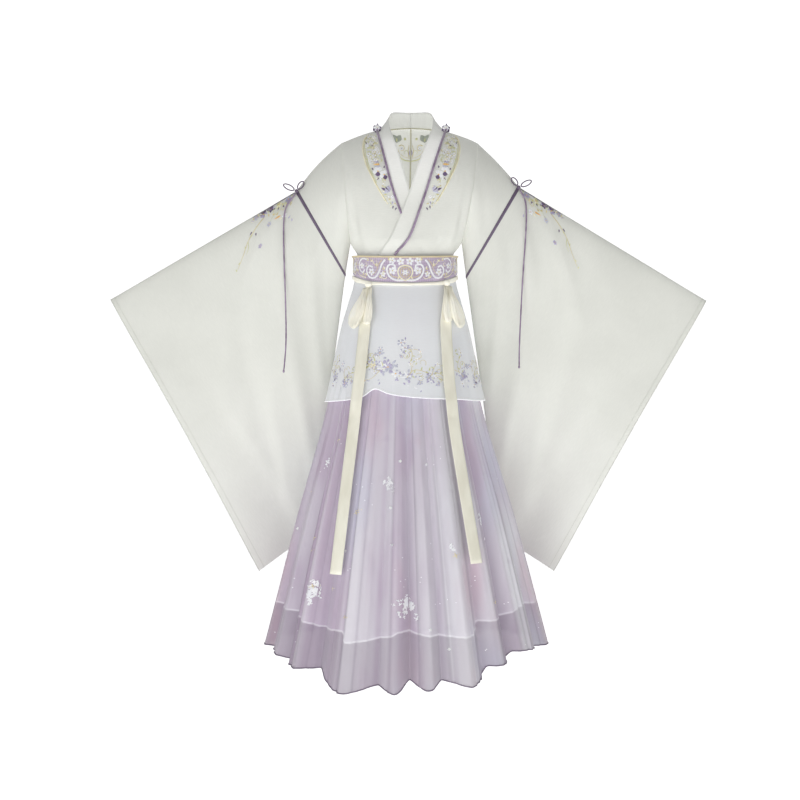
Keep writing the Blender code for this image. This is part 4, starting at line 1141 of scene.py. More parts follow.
sleeve_cloths = {}
for side, word in SIDE_NAMES.items():
    corner = SLEEVES[side]
    outside = sleeve_outside(side)
    upper = sleeve_loops(upper_sleeve_point, side, [k / 14 for k in range(15)], 24)
    made = cloth("upper_sleeve_" + word + "_gauze", upper, ivory_gauze, outside, closed=True,
                 replaced=("upper_sleeve_front_" + word, "upper_sleeve_back_" + word))
    wide = sleeve_loops(sleeve_point, side, [k / 56 for k in range(57)], SLEEVE_ROWS)
    made = cloth("sleeve_" + word + "_gauze", wide, ivory_gauze, outside, closed=True,
                 replaced=("sleeve_front_" + word, "sleeve_back_" + word))
    sleeve_cloths[side] = made
    # The cuff's hem: a second layer turned in, one centimetre deep
    made = cloth("cuff_hem_" + word, cuff_rows(side, (0.98, 0.987, 0.994, 0.9999), 0.0006), ivory_gauze,
                 outside, closed=True)
    edge, seam = cuff_rows(side, (0.9996, 0.98), 0.0004)
    tube("cuff_edge_" + word, edge, 0.0008, hem_thread, around=5, cyclic=True)
    sew("cuff_stitch_" + word, seam, hem_thread)
    # The binding over the joint of the two sleeves
    upper_length = (side_point(1.0, side, FRONT) - corner["binding_top"]).length
    lower_length = (corner["cuff_top"] - corner["binding_top"]).length
    above, joint = sleeve_loops(upper_sleeve_point, side, (1 - BINDING_WIDTH / 2 / upper_length, 1.0), 24, False)
    below = sleeve_loops(sleeve_point, side, (BINDING_WIDTH / 2 / lower_length,), 24, False)[0]
    between = [[mix(a, b, 0.5) for a, b in zip(joint, edge)] for edge in (above, below)]
    ring = []
    for row, lift in zip((above, between[0], joint, between[1], below), BINDING_LIFTS):
        half = len(row) // 2
        centre = sum(row, Vector()) / len(row)
        ring.append([])
        for k, p in enumerate(row):
            off = FRONTWARD if k < half else -FRONTWARD
            at_fold = (abs((k % half) / (half - 1) - 0.5) * 2) ** 6
            away = off * (1 - at_fold) + (p - centre).normalized() * at_fold
            ring[-1].append(p + away.normalized() * lift)
    made = cloth("sleeve_binding_" + word + "_satin", ring, dark_satin, outside, closed=True,
                 replaced=("sleeve_binding_" + word,))

# Sleeve bows

# The knot of each sleeve cord sits on the binding just below its top fold.
# Two small loops of thinner cord stand up from it.
BOW_CORD = 0.0026
SLEEVE_LOOPS = (
    # side, number, x reach, z reach
    (-1, 1, -0.03, 0.015), (-1, 2, 0.016, 0.022), (1, 1, -0.016, 0.022), (1, 2, 0.029, 0.015),
)
LOOP_SPREAD = 0.0055
LOOP_SAG = 0.0012
for side, word in SIDE_NAMES.items():
    wound_knot("sleeve_knot_" + word + "_satin", sleeve_knots[side], SLEEVE_KNOT_SIZE, dark_satin,
               ("sleeve_knot_" + word,))
for side, number, reach_x, reach_z in SLEEVE_LOOPS:
    knot = sleeve_knots[side]
    reach = Vector((reach_x, 0, reach_z))
    across = Vector((-reach.z, 0, reach.x)).normalized() * LOOP_SPREAD
    begin = knot + reach.normalized() * (0.5 * SLEEVE_KNOT_SIZE[0] + 0.5 * BOW_CORD + 0.0004)
    begin.y -= 0.001
    far = reach - (begin - knot)
    line = []
    for k in range(36):
        turn = 2 * pi * k / 36
        sag = FRONTWARD * LOOP_SAG * sin(turn / 2)
        line.append(begin + far * (1 - cos(turn)) / 2 + across * sin(turn) + sag)
    name = f"sleeve_loop_{SIDE_NAMES[side]}_{number}"
    tube(name + "_cord", line, BOW_CORD / 2, dark_satin, (name,), around=8, cyclic=True)

# Waist form

# The skirts hang from a straight waist. One rule gives every skirt layer its place: an oval at each height, and
# folds that start under the belt and open towards the hem.
FOLD_START = -0.35
FOLD_FULL = -1.21
FOLD_POWER = 1.1
HIPS = Profile(
    "height middle half_width half_depth",
    (-0.29, -0.01, 0.1172, 0.0872), (-0.35, -0.01, 0.1174, 0.0875), (-0.4, -0.0105, 0.129, 0.0995),
    (-0.46, -0.011, 0.145, 0.115), (-0.635, -0.0115, 0.177, 0.144), (-0.9, -0.0095, 0.248, 0.203),
    (-1.2, -0.008, 0.323, 0.265), (-1.26, -0.008, 0.338, 0.277),
)
FOLDS = (
    # trough angle, trough depth, ridge height
    (-90, 0.014, 0.011), (-72, 0.013, 0.01), (-57, 0.018, 0.012), (-38, 0.02, 0.015), (-11, 0.014, 0.012),
    (1.3, 0.03, 0.012), (14, 0.018, 0.013), (33, 0.03, 0.009), (47, 0.024, 0.011), (68, 0.014, 0.011),
    (90, 0.016, 0.012), (107, 0.02, 0.011), (123, 0.016, 0.013), (142, 0.022, 0.012), (158, 0.018, 0.012),
    (177, 0.026, 0.012), (194, 0.018, 0.013), (211, 0.02, 0.011), (227, 0.016, 0.012), (243, 0.02, 0.011),
    (257, 0.016, 0.01), (270, 0.014, 0.011),
)
RIDGE_MOST = max(row[2] for row in FOLDS)
SKIRT_HEM = Profile(
    "angle height",
    (-180, -1.222), (-130, -1.215), (-90, -1.198), (-70, -1.193), (-57, -1.207), (-46, -1.214), (-37, -1.212),
    (-31, -1.236), (-23, -1.25), (-11, -1.235), (-4, -1.247), (1.3, -1.226), (7.6, -1.241), (14, -1.226),
    (25, -1.238), (32, -1.232), (35, -1.205), (46, -1.2), (50, -1.184), (62, -1.186), (78, -1.194),
    (90, -1.198), (130, -1.215), (180, -1.222),
)
# Fine creases between the folds
SKIRT_CREASES = (
    # angle, half width in degrees, height at the hem, height where it starts
    (-84, 1.3, -0.005, -0.52), (-78, 1.0, 0.004, -0.6), (-66, 1.2, -0.0058, -0.45), (-62, 0.8, 0.0034, -0.7),
    (-50, 1.0, -0.0062, -0.42), (-46.5, 0.8, 0.0046, -0.42), (-43, 0.9, -0.0052, -0.42),
    (-40, 0.7, 0.003, -0.41), (-31, 1.1, -0.004, -0.66), (-27, 0.9, 0.0036, -0.48), (-20, 1.0, -0.005, -0.43),
    (-16, 0.8, 0.0038, -0.7), (-6, 0.8, -0.0046, -0.44), (-2, 0.6, 0.003, -0.55), (5, 0.7, -0.004, -0.5),
    (9.5, 0.9, 0.0042, -0.62), (19, 0.9, -0.0052, -0.46), (24, 1.1, 0.0038, -0.74), (28, 0.8, -0.0046, -0.43),
    (37, 0.8, 0.0038, -0.5), (41, 0.9, -0.0054, -0.42), (52, 1.0, 0.0044, -0.55), (57, 1.1, -0.0058, -0.44),
    (62, 0.9, 0.0034, -0.66), (74, 1.2, -0.005, -0.5), (82, 1.0, 0.0038, -0.6),
)
# Where one fold lies over the next; it steps outward to the right of the angle where the step is above 0
SKIRT_LAPS = (
    # angle, step at the hem, run, start height
    (-52, 0.005, 4.0, -0.62), (-25, 0.0085, 5.0, -0.42), (-6.5, 0.006, 3.5, -0.44), (5, -0.0075, 5.0, -0.46),
    (17, -0.004, 3.5, -0.6), (31.5, 0.0055, 4.0, -0.55), (42, -0.006, 4.0, -0.44), (59, -0.006, 5.0, -0.5),
)
# How much mauve the dye holds round the skirt: pale and mauve lengths meet at the laps
SKIRT_DYE = Profile(
    "angle mauve",
    (-180, 0.4), (-160, 0.8), (-130, 0.2), (-105, 0.7), (-90, 0.6), (-76, 0.7), (-72, 0.6), (-53, 0.72),
    (-51, 0.95), (-40, 0.95), (-36, 0.8), (-26, 0.95), (-24.4, 0.5), (-14, 0.5), (-12, 0.75), (-10, 0.45),
    (-7, 0.4), (-5.8, 0.8), (4.3, 0.65), (5.6, 0.5), (15, 0.5), (18, 0.12), (31, 0.05), (33, 0.3), (40, 0.45),
    (42.6, 0.8), (52, 0.55), (56, 0.1), (62, 0.3), (66, 0.05), (80, 0.2), (90, 0.5), (118, 0.8), (140, 0.2),
    (180, 0.4),
)


def ring_point(angle, z, out):
    """A point at an angle round the hips, a distance outside the skirt's mean surface."""
    size = HIPS.read(z)
    turn = radians(angle)
    x = size["middle"] + (size["half_width"] + out) * sin(turn)
    return Vector((x, -(size["half_depth"] + out) * cos(turn), z))


def front_angle(angle):
    return (angle + 180) % 360 - 180


def fold_growth(z):
    return clamp((FOLD_START - z) / (FOLD_START - FOLD_FULL)) ** FOLD_POWER


def fold_out(angle):
    """How far the skirt's cloth stands out at an angle, at full fold: sharp troughs and round ridges."""
    for here, after in zip(FOLDS, FOLDS[1:]):
        if here[0] <= angle <= after[0]:
            share = (angle - here[0]) / (after[0] - here[0])
            low = mix(-here[1], -after[1], share)
            middle = (here[1] + after[1]) / 2
            return low + (here[2] + middle) * sin(pi * share)
    return 0.0


def crease_out(angle, z):
    """The fine creases, repeated on the hidden back half in mirror image."""
    angle = front_angle(angle)
    angle = angle if abs(angle) <= 90 else copysign(180, angle) - angle
    total = 0.0
    for at, width, height, start in SKIRT_CREASES:
        if abs(angle - at) < 3 * width:
            total += height * smooth((start - z) / 0.35) * exp(-(((angle - at) / width) ** 2))
    for at, step, run, start in SKIRT_LAPS:
        away = (angle - at) / run
        if abs(away) < 4:
            total += step / 2 * smooth((start - z) / 0.4) * copysign(exp(-abs(away)), away)
    return total


def lap_shade_line(angle, z):
    """Painted shade: 1 along the edge of a fold that lies over the next and in the deepest creases, fading to 0
    beside it and upwards.
    """
    edges = [(at, start, 0.8, 1.0) for at, _, _, start in SKIRT_LAPS]
    edges += [(at, start, 0.7, 0.6) for at, _, height, start in SKIRT_CREASES if height < -0.0049]
    return max(clamp(1 - abs(front_angle(angle) - at) / width) * share * smooth((start - z) / 0.3)
               for at, start, width, share in edges)


def skirt_fold(angle, z):
    return fold_out((angle + 90) % 360 - 90) * fold_growth(z) + crease_out(angle, z)


def skirt_point(angle, z, inside=0.0):
    return ring_point(angle, z, skirt_fold(angle, z) - inside)


def down_to(hem):
    """The height at an angle and a share of the way from the waist to a hem."""
    return lambda angle, share: mix(WAIST_TOP, hem.read(front_angle(angle))["height"], share)


skirt_height = down_to(SKIRT_HEM)
SKIRT_COLUMNS = 260
SKIRT_SHARES = [0.0, 0.03, 0.06, 0.085] + [0.11 + 0.89 * k / 34 for k in range(35)]

# Lining

# A plain white under-skirt, matt and closely woven, ten centimetres shorter than the lilac skirt, so that its
# hem shows through as a pale edge.
LINING_AT_WAIST = 0.0021
LINING_BELOW = 0.0046
LINING_HEM = Profile(
    "angle height",
    (-180, -1.117), (-130, -1.112), (-90, -1.092), (-76, -1.097), (-57, -1.103), (-34, -1.127),
    (-26.5, -1.124), (-24, -1.146), (-17, -1.142), (-6, -1.13), (-3, -1.122), (10, -1.13), (30, -1.137),
    (34, -1.11), (46, -1.107), (62, -1.087), (76, -1.097), (90, -1.092), (130, -1.112), (180, -1.117),
)
lining_height = down_to(LINING_HEM)


def lining_inside(z):
    return mix(LINING_AT_WAIST, LINING_BELOW, smooth((FOLD_START - z) / 0.1))


def lining_point(angle, z):
    return skirt_point(angle, z, lining_inside(z))


def skirt_grid(first, last, value_at, height_at, columns=SKIRT_COLUMNS, shares=SKIRT_SHARES):
    """One value for every place of a half skirt: columns from first to last angle, rows from the waist down."""
    angles = [mix(first, last, k / columns) for k in range(columns + 1)]
    return [[value_at(a, height_at(a, share)) for a in angles] for share in shares]


# Painted light: the lining glows faintly, so that it shows bright through the chiffon above its hem
white_lining = Dye("white_lining", (246, 246, 249), 0.8, Emission_Color=(0.97, 0.96, 1, 1),
                   Emission_Strength=0.22)
lining_cloud = white_lining.cloud(white_lining.where, 5.0)
white_lining.feed("Base Color", white_lining.blend(lining_cloud, (249, 249, 251), (240, 240, 245)))
white_lining.feed("Roughness", lining_cloud * 0.08 + 0.76)
white_lining.weave(0.0007, 0.0002)
HALVES = (("front", -90, 90), ("back", 90, 270))
for half, first, last in HALVES:
    made = cloth("lining_" + half + "_cloth", skirt_grid(first, last, lining_point, lining_height), white_lining,
                 from_axis, replaced=("lining_" + half,))

# Lilac skirt

# One wide length of sheer chiffon, dyed in soft lilac, pink and grey that run down the folds like watercolour,
# with scattered white blossoms and tiny gold crosses. It is gathered at the waist and has a narrow rolled hem.
chiffon = Dye("lilac_chiffon", (200, 188, 206), 0.62, Sheen_Weight=0.25)
streaks = chiffon.stretched(chiffon.where, (1.0, 1.0, 0.22))
wash = chiffon.cloud(streaks, 13.0, 0.36, 0.66, 2.0)
pinks = chiffon.cloud(chiffon.stretched(streaks, (1.3, 1.3, 1.6)), 8.0, 0.5, 0.74, 2.0)
greys = chiffon.cloud(chiffon.stretched(streaks, (0.8, 0.9, 1.2)), 9.0, 0.48, 0.72, 1.0)
stain = chiffon.cloud(chiffon.where, 22.0, 0.6, 0.8, 4.0)
dyed = chiffon.mark("mauve")
lower = chiffon.height(-0.78, -1.04)
depth = dyed * 0.74 + wash * 0.42 + chiffon.height(-1.0, -0.66) * 0.2 + lower * (dyed * 0.5 - 0.16) - 0.09
tint = chiffon.blend(depth, (213, 212, 217), (174, 156, 177))
tint = chiffon.blend(pinks * 0.75, tint, (196, 166, 180))
PINK_SPOTS = (
    # x, y, z, reach
    (0.205, -0.18, -0.765, 0.055), (-0.13, -0.19, -0.64, 0.04), (0.02, -0.19, -0.7, 0.04),
)
for *spot, reach in PINK_SPOTS:
    ends = {0: chiffon.where, 1: spot}
    distance = chiffon.node("ShaderNodeVectorMath", {"operation": "DISTANCE"}, ends, "Value")
    ragged = distance + chiffon.noise(chiffon.where, 30.0) * 0.03
    tint = chiffon.blend(chiffon.between(ragged, reach + 0.015, 0.012) * 0.65, tint, (190, 142, 156))
tint = chiffon.blend(greys * 0.75, tint, (184, 184, 204))
tint = chiffon.blend(stain * 0.3, tint, (170, 150, 178))
# Painted shade darkens the troughs of the folds, and a painted highlight pales their ridges
fold = chiffon.mark("fold")
tint = chiffon.blend(chiffon.between(fold, 0.002, -0.022) * 0.34, tint, (150, 136, 158))
tint = chiffon.blend(chiffon.between(fold, 0.004, 0.015) * 0.4, tint, (230, 228, 233))
# Painted shade: below the lining's hem, where no white lies behind the cloth, it is painted darker and made a
# little less see-through, standing for the shaded inside of the skirt; just above, the lining's hem shows as a
# pale edge
below = chiffon.mark("below")
under = chiffon.between(below, -0.0004, 0.001)
stitched = chiffon.between(below, -0.0042, -0.003) * (1.0 - under)
tint = chiffon.blend(stitched * 0.3, tint, (248, 248, 252))
tint = chiffon.blend(under * (dyed * 0.26 + 0.26), tint, (140, 130, 145))
# Painted shade, dark along the edges where one fold lies over the next and in the deepest creases
chiffon.feed("Base Color", chiffon.blend(chiffon.mark("lap_shade") * 0.5, tint, (120, 106, 128)))
chiffon.opaque = False
chiffon.feed("Alpha", wash * -0.04 + under * 0.15 + 0.82)
chiffon.feed("Roughness", wash * 0.1 + 0.56)
chiffon.weave(0.0008, 0.0003, 0.3, extra=chiffon.noise(streaks, 90.0, 3.0) * 2.0)


def dye_share(angle, z):
    return SKIRT_DYE.read(front_angle(angle))["mauve"]


def below_lining(angle, z):
    return lining_height(angle, 1.0) - z


for half, first, last in HALVES:
    values = {"fold": skirt_fold, "lap_shade": lap_shade_line, "mauve": dye_share, "below": below_lining}
    marks = {name: sum(skirt_grid(first, last, value_at, skirt_height), []) for name, value_at in values.items()}
    made = cloth("skirt_" + half + "_chiffon", skirt_grid(first, last, skirt_point, skirt_height), chiffon,
                 from_axis, replaced=("skirt_" + half,), marks=marks)

HALF_DEGREES = [k / 2 for k in range(720)]
hem_dye = thread_dye("rolled_hem", (118, 106, 124), 0.6, 30.0, (104, 92, 112), (136, 126, 142))
# Painted light: the pale hems of the lining and the overskirt glow faintly
pale_hem = thread_dye("lining_hem", (250, 250, 253), 0.7, 30.0, (250, 250, 253), (232, 232, 240),
                      Emission_Color=(1, 1, 1, 1), Emission_Strength=0.3)


def hem_line(point_at, height_at, up):
    """A line all round a skirt, a little above its hem."""
    return [point_at(angle, height_at(angle, 1.0) + up) for angle in HALF_DEGREES]


def outside_lining(angle, z):
    return skirt_point(angle, z, lining_inside(z) - 0.0006)


tube("skirt_rolled_hem", hem_line(skirt_point, skirt_height, 0.0012), 0.0013, hem_dye,
     around=6, cyclic=True)
tube("lining_hem_fold", hem_line(outside_lining, lining_height, 0.0014), 0.0009, pale_hem,
     around=6, cyclic=True)


def on_ring(angle, height, point_at, height_at):
    """Lays a motif round a place on a skirt: a runs to the right and b up, in metres, and none below the hem."""
    radius = HIPS.read(height)["half_width"] * 0.92

    def place(a, b, lift):
        around = angle + degrees(a / radius)
        if height + b < height_at(around, 1.0) + 0.004:
            return None
        turn = radians(angle)
        return point_at(around, height + b) + Vector((sin(turn), -cos(turn), 0)) * lift

    return place


draw = random.Random(11)
prints = Needlework("skirt_prints")
# Clouds of small white blossoms
CLUSTERS = (
    # angle, height, width, tall, count
    (-45.0, -1.046, 0.034, 0.062, 60), (0.5, -1.068, 0.04, 0.054, 56), (-9.0, -0.812, 0.022, 0.036, 18),
    (43.0, -0.892, 0.024, 0.036, 14), (22.0, -0.945, 0.014, 0.016, 5), (-58.0, -0.77, 0.016, 0.024, 6),
    (64.0, -1.06, 0.026, 0.034, 9), (-82.0, -1.0, 0.034, 0.05, 15), (96.0, -0.93, 0.03, 0.044, 12),
    (120.0, -1.08, 0.036, 0.054, 16), (150.0, -0.84, 0.024, 0.034, 10), (183.0, -1.05, 0.038, 0.054, 18),
    (205.0, -0.88, 0.024, 0.036, 10), (232.0, -1.09, 0.034, 0.048, 14), (252.0, -0.9, 0.026, 0.038, 11),
)
for angle, height, width, tall, count in CLUSTERS:
    prints.place = on_ring(angle, height, skirt_point, skirt_height)
    for _ in range(count):
        a, b = draw.gauss(0, width / 5), draw.gauss(0, tall / 5)
        for _ in range(4):
            turn, length, wide = draw.uniform(0, 360), draw.uniform(0.003, 0.0058), draw.uniform(0.0018, 0.003)
            prints.leaf(a, b, turn, length, wide, white_silk, 0.0004, 1.2)
for k in range(150):
    prints.place = on_ring(draw.uniform(-90, 270), -0.68 - 0.5 * draw.random() ** 0.8, skirt_point, skirt_height)
    if k % 5 == 0:
        size = draw.uniform(0.004, 0.0066)
        for turn in (20, 110, 200, 290):
            prints.leaf(0, 0, turn, size, size * 0.3, gold_silk, 0.0005, 0.8)
        prints.dot(size * 1.7, 0.002, 0.001, gold_silk, 0.0005)
    elif k % 5 == 1:
        prints.blossom(0, 0, 0.0036, white_silk, cream_silk, turn=k * 20)
    else:
        for n in range(2):
            prints.dot(draw.uniform(-0.012, 0.012), draw.uniform(-0.02, 0.02), 0.0009, white_silk, 0.0004)
prints.finish("lilac_chiffon")

# Overskirt

# A short skirt of pale blue-grey gauze over the lilac one, with a fine white hem. Sprays of flowers are
# embroidered round it on curling gold stems.
OVERSKIRT_OUT = 0.0022
OVERSKIRT_WAVE = 0.007
WAVES_FROM = -0.36
WAVES_RUN = 0.28
OVERSKIRT_HEM = Profile(
    "angle height",
    (-180, -0.64), (-90, -0.637), (-70, -0.634), (-45, -0.628), (-32, -0.62), (-22, -0.602), (-12, -0.612),
    (0, -0.618), (15, -0.622), (40, -0.626), (70, -0.632), (90, -0.633), (180, -0.64),
)


def overskirt_out(angle, z):
    """The overskirt clears the skirt's ridges and hangs in a few low waves of its own."""
    turn = radians(angle)
    wave = 0.5 + 0.3 * sin(5 * turn + 0.6) + 0.2 * sin(9 * turn + 2.1)
    drop = clamp((WAVES_FROM - z) / WAVES_RUN)
    fine = 0.001 * sin(23 * turn + 1.0) * sin(7 * turn) * drop
    turned = front_angle(angle)
    at_right = smooth((-36 - turned) / 8) * smooth((turned + 76) / 10)
    ruffle = 0.0028 * sin(turn * 40) * at_right * smooth((-0.56 - z) / 0.06)
    return OVERSKIRT_OUT + RIDGE_MOST * fold_growth(z) + OVERSKIRT_WAVE * wave * drop**1.5 + fine + ruffle


def overskirt_point(angle, z):
    return ring_point(angle, z, overskirt_out(angle, z))


overskirt_height = down_to(OVERSKIRT_HEM)
blue_gauze = gauze_dye("pale_blue_gauze", (241, 243, 244), (230, 234, 237), 0.88)
for half, first, last in HALVES:
    rows = skirt_grid(first, last, overskirt_point, overskirt_height, 150, [k / 24 for k in range(25)])
    made = cloth("overskirt_" + half + "_gauze", rows, blue_gauze, from_axis,
                 replaced=("overskirt_" + half,))
tube("overskirt_hem_roll", hem_line(overskirt_point, overskirt_height, 0.001), 0.001, pale_hem,
     around=6, cyclic=True)
sew("overskirt_hem_stitch", hem_line(overskirt_point, overskirt_height, 0.006), hem_thread,
    radius=0.00035)

sprays = Needlework("overskirt_embroidery")
PETAL_THREADS = (lilac_silk, grey_silk, white_silk, grey_silk, white_silk, lilac_silk)


def spray(angle, height, size, turn, flower, heart, second=None):
    """A curling gold stem with leaves, a cluster of petals round an open flower, and small flowers beside it."""
    sprays.place = on_ring(angle, height, overskirt_point, overskirt_height)
    way = radians(turn)
    right, up = cos(way), sin(way)

    def at(along, aside):
        return (size * (right * along - up * aside), size * (up * along + right * aside))

    sprays.vine([at(0, 0), at(0.5, 0.3), at(1.0, 0.1), at(1.5, -0.4), at(1.9, -0.3)], 0.0015, gold_silk)
    sprays.vine([at(0.3, 0.2), at(0.7, 0.8), at(1.2, 0.9)], 0.0012, gold_silk)
    sprays.curl(*at(0.7, -0.3), size * 0.34, turn + 120, -290, 0.0012, gold_silk)
    sprays.curl(*at(1.25, 0.6), size * 0.26, turn - 60, 280, 0.0011, gold_silk)
    for k in range(7):
        side = 1 if k % 2 else -1
        spot = at(0.25 + 0.24 * k, 0.15 * sin(2.4 * k))
        sprays.leaf(*spot, turn + side * 55, size * 0.3, size * 0.1, leaf_silk)
    for k in range(26):
        spot = at(draw.gauss(0.1, 0.27), draw.gauss(0, 0.24))
        thread = PETAL_THREADS[k % 6]
        sprays.leaf(*spot, draw.uniform(0, 360), size * draw.uniform(0.18, 0.3), size * 0.13, thread, 0.0008, 1.2)
    sprays.blossom(*at(0, 0), size * 0.27, flower, heart, turn + 12, 0.9, second)
    for along, aside, share in ((1.55, -0.35, 0.24), (0.95, 0.95, 0.2), (-0.45, 0.25, 0.22), (0.6, -0.65, 0.18)):
        petals = white_silk if share > 0.18 else grey_silk
        sprays.blossom(*at(along, aside), size * share, petals, heart, turn * 2, 0.8)
        sprays.leaf(*at(along - 0.1, aside), turn + 200, size * 0.18, size * 0.09, second or lilac_silk)


SPRAYS = (
    # angle, height, size, turn, flower, heart, second
    (-66, -0.578, 0.028, 100, grey_silk, gold_silk, plum_silk),
    (-50, -0.59, 0.024, 60, lilac_silk, amber_silk, None),
    (-25, -0.548, 0.028, 130, cream_silk, gold_silk, None),
    (-13, -0.552, 0.042, 168, lilac_silk, amber_silk, grey_silk),
    (0, -0.508, 0.024, 300, white_silk, amber_silk, None),
    (2, -0.574, 0.032, 20, white_silk, gold_silk, grey_silk),
    (18, -0.576, 0.028, 10, grey_silk, gold_silk, lilac_silk),
    (34, -0.59, 0.024, 100, white_silk, gold_silk, None),
    (51, -0.574, 0.034, 100, grey_silk, gold_silk, lilac_silk),
    (69, -0.586, 0.03, 60, white_silk, amber_silk, plum_silk),
    (92, -0.58, 0.034, 70, lilac_silk, amber_silk, None),
    (114, -0.59, 0.036, 110, white_silk, amber_silk, grey_silk),
    (138, -0.575, 0.038, 60, lilac_silk, amber_silk, grey_silk),
    (162, -0.59, 0.036, 140, cream_silk, amber_silk, None),
    (184, -0.575, 0.04, 80, lilac_silk, amber_silk, plum_silk),
    (206, -0.59, 0.036, 40, white_silk, gold_silk, grey_silk),
    (228, -0.575, 0.036, 110, grey_silk, gold_silk, lilac_silk),
    (250, -0.59, 0.034, 80, lilac_silk, amber_silk, None),
)
for row in SPRAYS:
    spray(*row)
HIGH_FLOWERS = ((-3, -0.497, 0.0085), (-20, -0.512, 0.007), (-57, -0.546, 0.0075), (62, -0.552, 0.0065))
for angle, height, size in HIGH_FLOWERS:
    sprays.place = on_ring(angle, height, overskirt_point, overskirt_height)
    for layer, thread in ((0, grey_silk), (36, white_silk)):
        sprays.blossom(0, 0, size * (1 - layer / 300), thread, amber_silk, angle + layer, 1.1)
for k in range(60):
    sprays.place = on_ring(draw.uniform(-90, 270), draw.uniform(-0.604, -0.53), overskirt_point,
                           overskirt_height)
    turn = draw.uniform(0, 360)
    sprays.leaf(0, 0, turn, 0.0052, 0.0026, PETAL_THREADS[k % 6])
    if k % 3 == 0:
        sprays.leaf(0.0012, 0, turn + 110, 0.0044, 0.0022, PETAL_THREADS[(k + 1) % 6])
sprays.finish("pale_blue_gauze")

# Belt

# A stiff band of plum brocade with cream and gold scrolls woven into it, closed round the waist over all the
# layers. A cream piping edges its top.
BELT_IN = 0.0031
BELT_WALL = 0.0022
BELT = Profile(
    "angle top bottom",
    (-180, -0.294, -0.337), (-90, -0.294, -0.337), (-60, -0.2955, -0.347), (-35, -0.298, -0.356),
    (0, -0.2995, -0.359), (35, -0.298, -0.356), (60, -0.2955, -0.347), (90, -0.294, -0.337),
    (180, -0.294, -0.337),
)
BELT_RADIUS = 0.112


def belt_point(a, b, lift):
    """A place on the belt: a metres to the right of its front middle, b from 0 at the bottom to 1 at the top."""
    angle = degrees(a / BELT_RADIUS)
    edge = BELT.read(front_angle(angle))
    return ring_point(angle, mix(edge["bottom"], edge["top"], b), BELT_IN + BELT_WALL + lift)


brocade = Dye("plum_brocade", (166, 146, 176), 0.5, Sheen_Weight=0.25)
brocade_cloud = brocade.cloud(brocade.where, 40.0, 0.35, 0.65)
brocade_rib = brocade.ribs("X", 0.0012)
brocade_ground = brocade.blend(brocade_cloud, (182, 164, 190), (204, 190, 210))
diagonal = brocade.stretched(brocade.cut, (1, 1, 1), (0, 0, 0.785))
fret_maze = brocade.node("ShaderNodeTexChecker", {}, {"Vector": diagonal, "Scale": 260.0}, "Fac")
brocade_ground = brocade.blend(fret_maze * 0.5, brocade_ground, (140, 122, 150))
brocade.feed("Base Color", brocade.blend(brocade_rib * 0.4, brocade_ground, (204, 192, 208)))
brocade.feed("Roughness", brocade_rib * 0.15 + 0.45)
brocade.weave(0.0012, 0.0003)
rows = [[belt_point(BELT_RADIUS * radians(1.5 * c), 1 - k / 8, 0.0) for c in range(240)] for k in range(9)]
belt = cloth("belt_brocade", rows, brocade, from_axis, closed=True, wall=0.0018,
             replaced=("belt",))

# Painted light: the satin glows faintly, and at the bows' height it is painted paler than the hanging ribbons
# below, to lift the shade on the loops that face downwards
cream_satin = Dye("cream_satin", (243, 240, 224), 0.42, Sheen_Weight=0.2, Emission_Color=(1, 0.97, 0.86, 1),
                  Emission_Strength=0.07)
cream_cloud = cream_satin.cloud(cream_satin.stretched(cream_satin.where, (1, 1, 0.3)), 30.0)
painted_light_bow_tone = cream_satin.blend(cream_cloud, (254, 252, 240), (246, 242, 226))
ribbon_tone = cream_satin.blend(cream_cloud, (234, 232, 217), (220, 217, 200))
cream_satin.feed("Base Color", cream_satin.blend(cream_satin.height(-0.47, -0.43), ribbon_tone, painted_light_bow_tone))
cream_satin.feed("Roughness", cream_cloud * 0.14 + 0.38)
cream_satin.weave(0.0009, 0.00022, extra=cream_satin.noise(cream_satin.where, 70.0) * 2.0)
line = []
for k in range(240):
    angle = 1.5 * k
    line.append(ring_point(angle, BELT.read(front_angle(angle))["top"] - 0.0018, BELT_IN + BELT_WALL + 0.0012))
tan_satin = thread_dye("tan_satin", (216, 202, 164), 0.42, 60.0, (204, 188, 148), (230, 218, 184),
                       0.0009, 0.0002)
tube("belt_cream_piping", line, 0.0019, tan_satin, ("belt_piping",), around=8, cyclic=True)

scrolls = Needlework("belt_scrolls")
SCALE = 0.055
MEDALLION_STEMS = (
    # width, thread, route
    (0.003, cream_silk, ((0.0, 0.003), (0.011, 0.01), (0.0155, 0.022), (0.011, 0.032), (0.0, 0.0355))),
    (0.0014, gold_silk, ((0.0, 0.008), (0.008, 0.014), (0.0105, 0.022), (0.007, 0.029), (0.0, 0.0315))),
    (0.001, gold_silk, ((0.001, 0.011), (0.0072, 0.029))),
    (0.001, gold_silk, ((0.001, 0.03), (0.0072, 0.012))),
)
SCROLL_STEMS = (
    # width, thread, whether it narrows, route
    (0.004, white_silk, False, ((0.003, 0.004), (0.02, 0.004), (0.034, 0.012), (0.0395, 0.027), (0.033, 0.037),
                                (0.022, 0.035), (0.021, 0.027))),
    (0.0018, gold_silk, True, ((0.016, 0.01), (0.027, 0.012), (0.034, 0.022), (0.031, 0.032))),
    (0.004, white_silk, False, ((0.043, 0.047), (0.051, 0.037), (0.057, 0.021), (0.067, 0.008), (0.083, 0.008),
                                (0.0905, 0.022), (0.083, 0.033), (0.073, 0.03))),
    (0.0018, gold_silk, True, ((0.05, 0.047), (0.058, 0.037), (0.064, 0.022), (0.074, 0.013))),
    (0.0038, white_silk, False, ((0.09, 0.047), (0.105, 0.048), (0.116, 0.038), (0.115, 0.022), (0.104, 0.015),
                                 (0.097, 0.023))),
    (0.0026, cream_silk, True, ((0.092, 0.005), (0.106, 0.006), (0.12, 0.011), (0.129, 0.024), (0.125, 0.042))),
)
